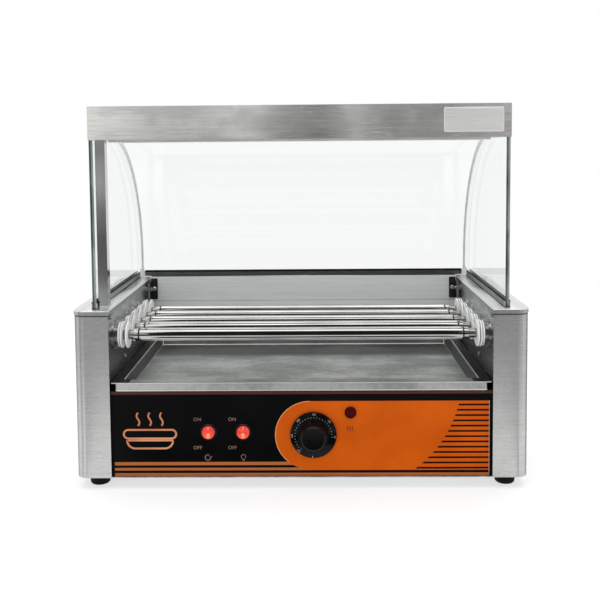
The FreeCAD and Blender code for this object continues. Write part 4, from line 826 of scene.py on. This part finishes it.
pale_ink = ink("pale_ink", (112, 88, 74), (142, 116, 100))
switch_places = {"turn": -118.5 * mm, "light": -74.0 * mm}
switch_middle = 73.5 * mm
state_side = -14.0 * mm
state_rise = {"ON": 16.4 * mm, "OFF": -20.6 * mm}
state_size = 6.4 * mm
for switch_name, switch_x in switch_places.items():
    for state, rise in state_rise.items():
        letters(
            "mark_" + switch_name + "_" + state.lower(), state, state_size, pale_ink,
            "chassis",
            lambda x, y, z: on_film(switch_x + state_side + x, switch_middle + rise + y, z),
        )

sign_z = 40.2 * mm
sign_width = 0.9 * mm
turn_sign_x = -119.6 * mm
turn_sign_radius = 3.6 * mm
turn_sign = arc(turn_sign_x, sign_z, turn_sign_radius, 60, 360, 25)[None]
film_mark("mark_turn_arc", turn_sign, sign_width, pale_ink)
turn_head = np.array([[-2.0, 1.6], [0.0, -0.4], [2.0, 1.6]]) * mm + turn_sign[0, -1]
film_mark("mark_turn_head", turn_head[None], sign_width, pale_ink)
light_sign_x = -74.1 * mm
light_bulb_rise = 1.0 * mm
light_bulb_radius = 2.8 * mm
light_bulb = arc(light_sign_x, sign_z + light_bulb_rise, light_bulb_radius, -55, 235, 21)[None]
film_mark("mark_light_bulb", light_bulb, sign_width, pale_ink)
light_base = np.array([[[-1.6, -2.6], [1.6, -2.6]], [[-1.2, -4.0], [1.2, -4.0]]]) * mm
film_mark("mark_light_base", light_base + (light_sign_x, sign_z), sign_width, pale_ink)

dark_ink = ink("dark_ink", (48, 22, 10), (66, 32, 16))
heat_places = np.array([59.0, 62.3, 65.6]) * mm
heat_sign = waves(heat_places, foot=74.0 * mm, rise=7.0 * mm, swing=0.7 * mm)
film_mark("mark_heat", heat_sign, sign_width, dark_ink)

salmon_ink = ink("salmon_ink", (196, 118, 74), (226, 152, 108))
dog_x = -193.5 * mm
dog_z = 71.0 * mm
dog_half = 28.0 * mm
dog_radius = 5.6 * mm
dog_width = 2.4 * mm
dog_outline = np.concatenate([
    arc(dog_x + dog_half, dog_z, dog_radius, -90, 90, 13),
    arc(dog_x - dog_half, dog_z, dog_radius, 90, 270, 13),
])
film_mark("sign_sausage", dog_outline[None], dog_width, salmon_ink, closed=True)
bun_half = 19.0 * mm
bun_radius = 10.5 * mm
bun_z = dog_z - dog_radius - 2.6 * mm
bun_outline = np.concatenate([
    arc(dog_x - bun_half, bun_z, bun_radius, 180, 270, 9),
    arc(dog_x + bun_half, bun_z, bun_radius, 270, 360, 9),
    [[dog_x - bun_half - bun_radius, bun_z]],
])
film_mark("sign_bun", bun_outline[None], dog_width, salmon_ink, closed=True)
steam_places = dog_x + np.array([-15.0, 0.0, 15.0]) * mm
steam_width = 2.2 * mm
steam = waves(steam_places, foot=dog_z + 11.0 * mm, rise=17.0 * mm, swing=1.8 * mm)
film_mark("sign_steam", steam, steam_width, salmon_ink)


# The switches
# Two round snap-in switches with gloss black bezels. Each rocker is a red lens with a lamp
# behind it, moulded with a bar on its upper half and a ring on its lower half.
bezel = plastic("switch_bezel", (6, 6, 7), (12, 12, 13), roughness=0.22, grain=400, depth=0.02 * mm)
bezel.take({"Specular IOR Level": 0.2})
dress(bezel, "switch_bodies")
lens_lamp = switch_middle - 2.5 * mm
lens_lamp_core = 0.4 * mm
lens_lamp_rim = 3.2 * mm
lens_lamp_share = 0.6
lens_pale_start = switch_middle + 3.0 * mm
lens_pale_end = switch_middle - 8.0 * mm
lit_lens = Finish("lit_lens", {"Emission Strength": 0.30})
lens_drift = lit_lens.noise((260, 260, 260))
lens_x = lit_lens.axis("X")
lens_z = lit_lens.axis("Z")
lens_side = abs(lens_x - switch_places["turn"]) & abs(lens_x - switch_places["light"])
lens_glow = lit_lens.ramp(lens_lamp_rim, lens_lamp_core, lit_lens.length(lens_side, lens_z - lens_lamp))
lens_pale = lit_lens.ramp(lens_pale_start, lens_pale_end, lens_z)
lens_red = lit_lens.blend(lit_lens.ramp(0.3, 0.7, lens_drift), screen(206, 34, 28), screen(226, 66, 54))
lens_red = lit_lens.blend(lens_pale, lens_red, screen(222, 92, 72))
lens_red = lit_lens.blend(lens_lamp_share * lens_glow, lens_red, screen(255, 196, 120))
lit_lens.take({
    "Base Color": lens_red,
    "Emission Color": lens_red,
    "Roughness": 0.25 + 0.1 * (lens_drift - 0.5),
})
dress(lit_lens, "turn_rocker", "light_rocker")

rocker_pivot = film_front + 1.0 * mm
rocker_dip = 4.5 * mm
rocker_slope = 0.109
rocker_tilt = math.radians(-7)
lit_mark = plastic(
    "lit_mark", (236, 140, 116), (246, 164, 140), roughness=0.35, grain=600, depth=0.02 * mm)
lit_mark.take({"Emission Color": screen(255, 196, 160), "Emission Strength": 0.25})
bar_mark = np.array([[[0.0, 3.4], [0.0, 6.4]]]) * mm
bar_width = 1.0 * mm
ring_mark = arc(0.0, -4.9 * mm, 1.5 * mm, 15, 360, 24)[None]
ring_width = 0.7 * mm
for switch_name, switch_x in switch_places.items():
    def on_rocker(x, u, lift):
        """A point of the rocker's face: two slopes that meet in a shallow dip, tipped about the pivot."""
        v = -rocker_dip - rocker_slope * np.abs(u) - lift
        y = v * math.cos(rocker_tilt) - u * math.sin(rocker_tilt)
        z = v * math.sin(rocker_tilt) + u * math.cos(rocker_tilt)
        return np.stack([switch_x + x, rocker_pivot + y, switch_middle + z], axis=-1)

    rocker_body = switch_name + "_rocker"
    ribbon(switch_name + "_bar", bar_mark, bar_width, False, lit_mark, rocker_body, on_rocker)
    ribbon(switch_name + "_ring", ring_mark, ring_width, True, lit_mark, rocker_body, on_rocker)


# The knob
# A black moulded knob with a sloping skirt that carries the scale, and a fluted hub with
# a dished face. It is polished and pushed onto the thermostat's spindle.
knob_gloss = plastic("knob_gloss", (4, 4, 5), (9, 9, 10), roughness=0.20, grain=500, depth=0.02 * mm)
knob_gloss.take({"Specular IOR Level": 0.15})
dress(knob_gloss, "thermostat_knob")
knob_x = 15.6 * mm
knob_z = 70.0 * mm
skirt_rim = 29.5 * mm
skirt_rim_front = film_front - 3.6 * mm
skirt_root = 20.0 * mm
skirt_root_front = film_front - 6.6 * mm
scale_radius = 27.2 * mm
scale_size = 3.3 * mm
scale_start = -4.0
scale_step = 46.2
scale_numbers = ["50", "100", "150", "200", "250", "300"]
white_ink = ink("white_ink", (140, 144, 146), (172, 175, 177))


def on_skirt(x, z, lift):
    """A point of the skirt, from the spindle, lifted off the sloping face."""
    slope = (skirt_root_front - skirt_rim_front) / (skirt_rim - skirt_root)
    front = skirt_rim_front + slope * (skirt_rim - np.hypot(x, z))
    return np.stack([knob_x + x, front - lift, knob_z + z], axis=-1)


for number_count, number in enumerate(scale_numbers):
    number_turn = math.radians(scale_start + scale_step * number_count)
    letters(
        "scale_" + number, number, scale_size, white_ink, "knob",
        lambda x, y, z: on_skirt(
            (scale_radius + y) * np.cos(number_turn - x / scale_radius),
            (scale_radius + y) * np.sin(number_turn - x / scale_radius), z),
    )
dot_radius = 23.6 * mm
dot_size = 0.24 * mm
dot_width = 1.9 * dot_size
dots_per_number = 5
dot_count = dots_per_number * (len(scale_numbers) - 1) + 1
dot_turns = np.radians(scale_start + scale_step / dots_per_number * np.arange(dot_count))
dot_middles = dot_radius * np.stack([np.cos(dot_turns), np.sin(dot_turns)], axis=-1)
dots = dot_middles[:, None] + arc(0, 0, dot_size, 45, 360, 8)
ribbon("scale_dots", dots, dot_width, True, white_ink, "knob", on_skirt)
tick = np.array([[[-1.3, -26.2], [-1.3, -29.0]]]) * mm
tick_width = 0.8 * mm
ribbon("scale_tick", tick, tick_width, False, white_ink, "knob", on_skirt)


# The pilot lamp
# A round domed lens of dark red plastic on a barrel, set into the panel at the upper right of the dial.
pilot = plastic("pilot_lens", (58, 2, 6), (92, 5, 10), roughness=0.22, grain=300, depth=0.05 * mm)
pilot.take({"Specular IOR Level": 0.06})
dress(pilot, "heat_indicator")


# The rollers
# Five seamless stainless tubes, ground and polished round and round, with narrower necks
# that run in white bushes. A white collar turns with each end, and steel flanges hold the bushes.
roller_count = 5
roller_groove_start = 210.4 * mm
roller_groove_end = 212.1 * mm
roller_groove_share = 0.85
roller_end_start = 212.0 * mm
roller_end_share = 0.15
roller_neck_start = 217.4 * mm
roller_neck_share = 0.45
roller_steel = Finish("roller_steel", {"Metallic": 1.0})
roller_rings = roller_steel.noise((420, 12, 12), detail=3.0, roughness=0.6)
roller_film = roller_steel.noise((10, 30, 30), detail=3.0)
roller_side = abs(roller_steel.axis("X"))
roller_groove = (roller_side > roller_groove_start) & (roller_side < roller_groove_end)
roller_neck = roller_side > roller_neck_start
roller_end = roller_side > roller_end_start
# Painted shade: the groove, the end and the neck of each tube are darkened, where shade falls by the
# collar.
roller_painted_shade = roller_groove_share * roller_groove | roller_neck_share * roller_neck
roller_painted_shade = roller_painted_shade | roller_end_share * roller_end
roller_film_share = roller_steel.ramp(0.3, 0.7, roller_film)
roller_tone = roller_steel.blend(roller_film_share, screen(168, 168, 166), screen(192, 191, 188))
roller_steel.take({
    "Base Color": roller_steel.blend(roller_painted_shade, roller_tone, grey(0.0)),
    "Roughness": 0.06 + 0.06 * (roller_rings - 0.5) + 0.04 * (roller_film - 0.5),
})
roller_steel.bump(roller_rings, 0.06, 0.1 * mm)
white_bush = plastic(
    "white_bush", (248, 248, 246), (254, 254, 253), roughness=0.42, grain=500, depth=0.05 * mm)
for roller_number in range(1, roller_count + 1):
    dress(roller_steel, f"roller_{roller_number}_tube")
    dress(white_bush, f"roller_{roller_number}_collars")
dress(white_bush, "roller_bushes")
dress(shaft_steel, "bearing_flanges")


# The glass cover
# Flat toughened side panes and one bent rear pane, their edges ground. The side panes stand
# in thin channels on the caps, the rear pane in a channel on the rear panel, with white sealant.
channel_foot, channel_top = (corner[2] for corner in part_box("side_glass_channels"))
gasket_share = 0.95
gasket_top_line = channel_top - 1.0 * mm
gasket_foot_line = channel_foot + 1.2 * mm


def gasket_lines(finish):
    """Black along the top and the foot of the channel, where a rubber strip shows."""
    height = finish.axis("Z")
    return gasket_share * ((height > gasket_top_line) | (height < gasket_foot_line))


channel_steel = brushed(
    "channel_steel", (216, 218, 218), (236, 238, 238),
    roughness=0.35, grain=(6, 6, 900), shade=gasket_lines)
channel_steel.take({"Specular Tint": grey(0.25)})
dress(channel_steel, "side_glass_channels")
rear_channel_steel = brushed(
    "rear_channel_steel", (88, 90, 90), (110, 112, 112),
    roughness=0.35, grain=(6, 6, 900), shade=gasket_lines)
dress(rear_channel_steel, "rear_glass_channel")


def glass_pane(name):
    """Clear glass: seen straight through, with a mirror that grows as the view slants along it."""
    finish = Finish(name, {})
    clear = finish.node("BsdfTransparent", {}, {"Color": (0.976, 0.984, 0.980, 1.0)})
    mirror = finish.node("BsdfGlossy", {}, {"Color": grey(0.9), "Roughness": 0.04})
    slant = finish.node("LayerWeight", {}, {"Blend": 0.5}, "Facing")
    shine = 0.02 + 0.35 * slant * slant * slant * slant
    return finish, finish.node("MixShader", {}, {0: shine, 1: clear, 2: mirror})


side_glass, side_pane = glass_pane("side_glass")
side_edge_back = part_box("left_side_glass")[0][1] + 0.3 * mm
side_middle = 263.0 * mm
side_edge_blend_half = 0.5 * mm
side_x = side_glass.axis("X")


def side_across(middle):
    """From 0 to 1 across the middle of a pane's edge, from its left to its right."""
    return side_glass.ramp(middle - side_edge_blend_half, middle + side_edge_blend_half, side_x)


side_edge = side_glass.axis("Y") < side_edge_back
side_grind = side_glass.noise((60, 60, 25), detail=3.0)
side_grind_share = side_glass.ramp(0.35, 0.65, side_grind)
# Painted light and shade on the ground edges: each edge is dark on its left half and pale on its right. The
# green tone and the grind's mottling are the glass's own.
side_edge_lit_half = side_across(-side_middle) & ((side_x < 0) | side_across(side_middle))
side_edge_shade = side_glass.blend(side_grind_share, screen(44, 56, 50), screen(84, 96, 90))
side_edge_light = side_glass.blend(side_grind_share, screen(110, 122, 115), screen(150, 160, 154))
side_glass.take({
    "Base Color": side_glass.blend(side_edge_lit_half, side_edge_shade, side_edge_light),
    "Roughness": 0.40 + 0.2 * (side_grind - 0.5),
})
side_solid = Value(side_glass, side_glass.shader.outputs[0])
side_whole = side_glass.node("MixShader", {}, {0: side_edge, 1: side_pane, 2: side_solid})
side_glass.feed(side_glass.output.inputs["Surface"], side_whole)
dress(side_glass, "left_side_glass", "right_side_glass")

rear_glass, rear_pane = glass_pane("rear_glass")
rear_glass.feed(rear_glass.output.inputs["Surface"], rear_pane)
dress(rear_glass, "curved_glass")

seam_foot = channel_top + 2.5 * mm
seam_foot_end = seam_foot + 1.0 * mm
seam_reach = 258.2 * mm
seam_line_share = 0.45
sealant = moulded("white_sealant", roughness=0.5, grain=300, depth=0.3 * mm)[0]
seam_line = (abs(sealant.facing("X")) < 0.5) & (abs(sealant.axis("X")) < seam_reach)
seam_low = sealant.ramp(seam_foot_end, seam_foot, sealant.axis("Z"))
seam_cloud = sealant.ramp(0.3, 0.7, sealant.noise((60, 60, 60)))
seam_tone = sealant.blend(seam_cloud, screen(120, 124, 122), screen(160, 163, 161))
sealant.take({"Base Color": sealant.blend(seam_low, seam_tone, screen(244, 244, 241))})
seam_clear = sealant.node("BsdfTransparent", {}, {"Color": (0.93, 0.935, 0.932, 1.0)})
seam_solid = Value(sealant, sealant.shader.outputs[0])
seam_share = seam_low | seam_line_share * seam_line
seam_whole = sealant.node("MixShader", {}, {0: seam_share, 1: seam_clear, 2: seam_solid})
sealant.feed(sealant.output.inputs["Surface"], seam_whole)
dress(sealant, "glass_sealant_beads")


# The conduit post
# A square stainless tube from the left cap up to the hood. It holds the hood's corner and
# takes the lamp's wires.
post_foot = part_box("conduit_post")[0][2]
post_foot_share = 0.3
post_foot_start = post_foot + 85 * mm
post_foot_end = post_foot + 115 * mm
post_hood_share = 0.75
post_hood_start = post_foot + 150 * mm
post_hood_end = post_foot + 205 * mm
post_side_share = 0.3


def post_shade(finish):
    """Painted shade: the front of the post is dark towards its foot and under the hood, its other sides a
    little.
    """
    height = finish.axis("Z")
    front = finish.facing("Y") < -0.5
    foot = post_foot_share * (1 - finish.ramp(post_foot_start, post_foot_end, height))
    under_hood = post_hood_share * finish.ramp(post_hood_start, post_hood_end, height)
    return front * (foot + under_hood) + post_side_share * (1 - front)


post_steel = brushed(
    "post_steel", (226, 228, 226), (243, 245, 242),
    roughness=0.16, grain=(1500, 1500, 20), shade=post_shade, turn=0)
dress(post_steel, "conduit_post")


# The hood
# A folded stainless canopy over the front edge of the glass, brushed crosswise, with a bare
# nameplate. Inside it a white tray carries the lamp tube between two holders.
hood_cloud_share = 0.14
hood_top_shade_share = 0.5


def hood_painted_shade(finish):
    """Painted reflections and shade: soft darker patches on the front, as on a sheet not quite flat, and a
    darker top.
    """
    front = finish.facing("Y") < -0.5
    top = finish.facing("Z") > 0.7
    clouds = finish.ramp(0.42, 0.68, finish.noise((22, 22, 34)))
    return hood_cloud_share * front * clouds + hood_top_shade_share * top


hood_steel = brushed(
    "hood_steel", (204, 204, 201), (236, 236, 233),
    roughness=0.21, grain=(45, 1300, 1300), shade=hood_painted_shade)
hood_steel.take({"Metallic": 0.85})
dress(hood_steel, "hood")
hood_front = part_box("hood")[0][1]
plate_left = 181.8 * mm
plate_right = 256.8 * mm
plate_foot = 453.2 * mm
plate_top = 484.3 * mm
plate_corner = 2.0 * mm
plate_insets = np.array([0.0, 0.0, 1.4]) * mm
plate_lifts = np.array([-0.3, 1.0, 1.7]) * mm


def plate_ring(inset):
    """Outline of the plate, drawn in from its edge: a rectangle with round corners."""
    left, right = plate_left + plate_corner, plate_right - plate_corner
    foot, top = plate_foot + plate_corner, plate_top - plate_corner
    radius = plate_corner - inset
    corners = [(right, foot, 270), (right, top, 0), (left, top, 90), (left, foot, 180)]
    return np.concatenate([arc(x, z, radius, start, start + 90, 7) for x, z, start in corners])


plate_rings = np.stack([plate_ring(inset) for inset in plate_insets])
plate_depth = np.broadcast_to(hood_front - plate_lifts[:, None], plate_rings.shape[:2])
plate_points = np.stack([plate_rings[..., 0], plate_depth, plate_rings[..., 1]], axis=-1)
plate_metal = brushed(
    "nameplate_metal", (206, 206, 205), (224, 224, 223), roughness=0.32, grain=(25, 25, 1600))
plate_metal.take({"Metallic": 0.25})
surface(
    "hood_nameplate", plate_points[None], plate_metal, "chassis",
    closed_columns=True, ends=True)
tray_paint = plastic(
    "lamp_tray_paint", (214, 214, 210), (232, 232, 229), roughness=0.45, grain=500, depth=0.05 * mm)
dress(tray_paint, "lamp_tray")
holder_plastic = plastic(
    "lamp_holder_plastic", (220, 220, 214), (236, 236, 231), roughness=0.4, grain=500, depth=0.05 * mm)
dress(holder_plastic, "lamp_holders")
lamp = plastic("lamp_glass", (236, 237, 236), (246, 247, 246), roughness=0.18, grain=300, depth=0.02 * mm)
dress(lamp, "lamp_tube")
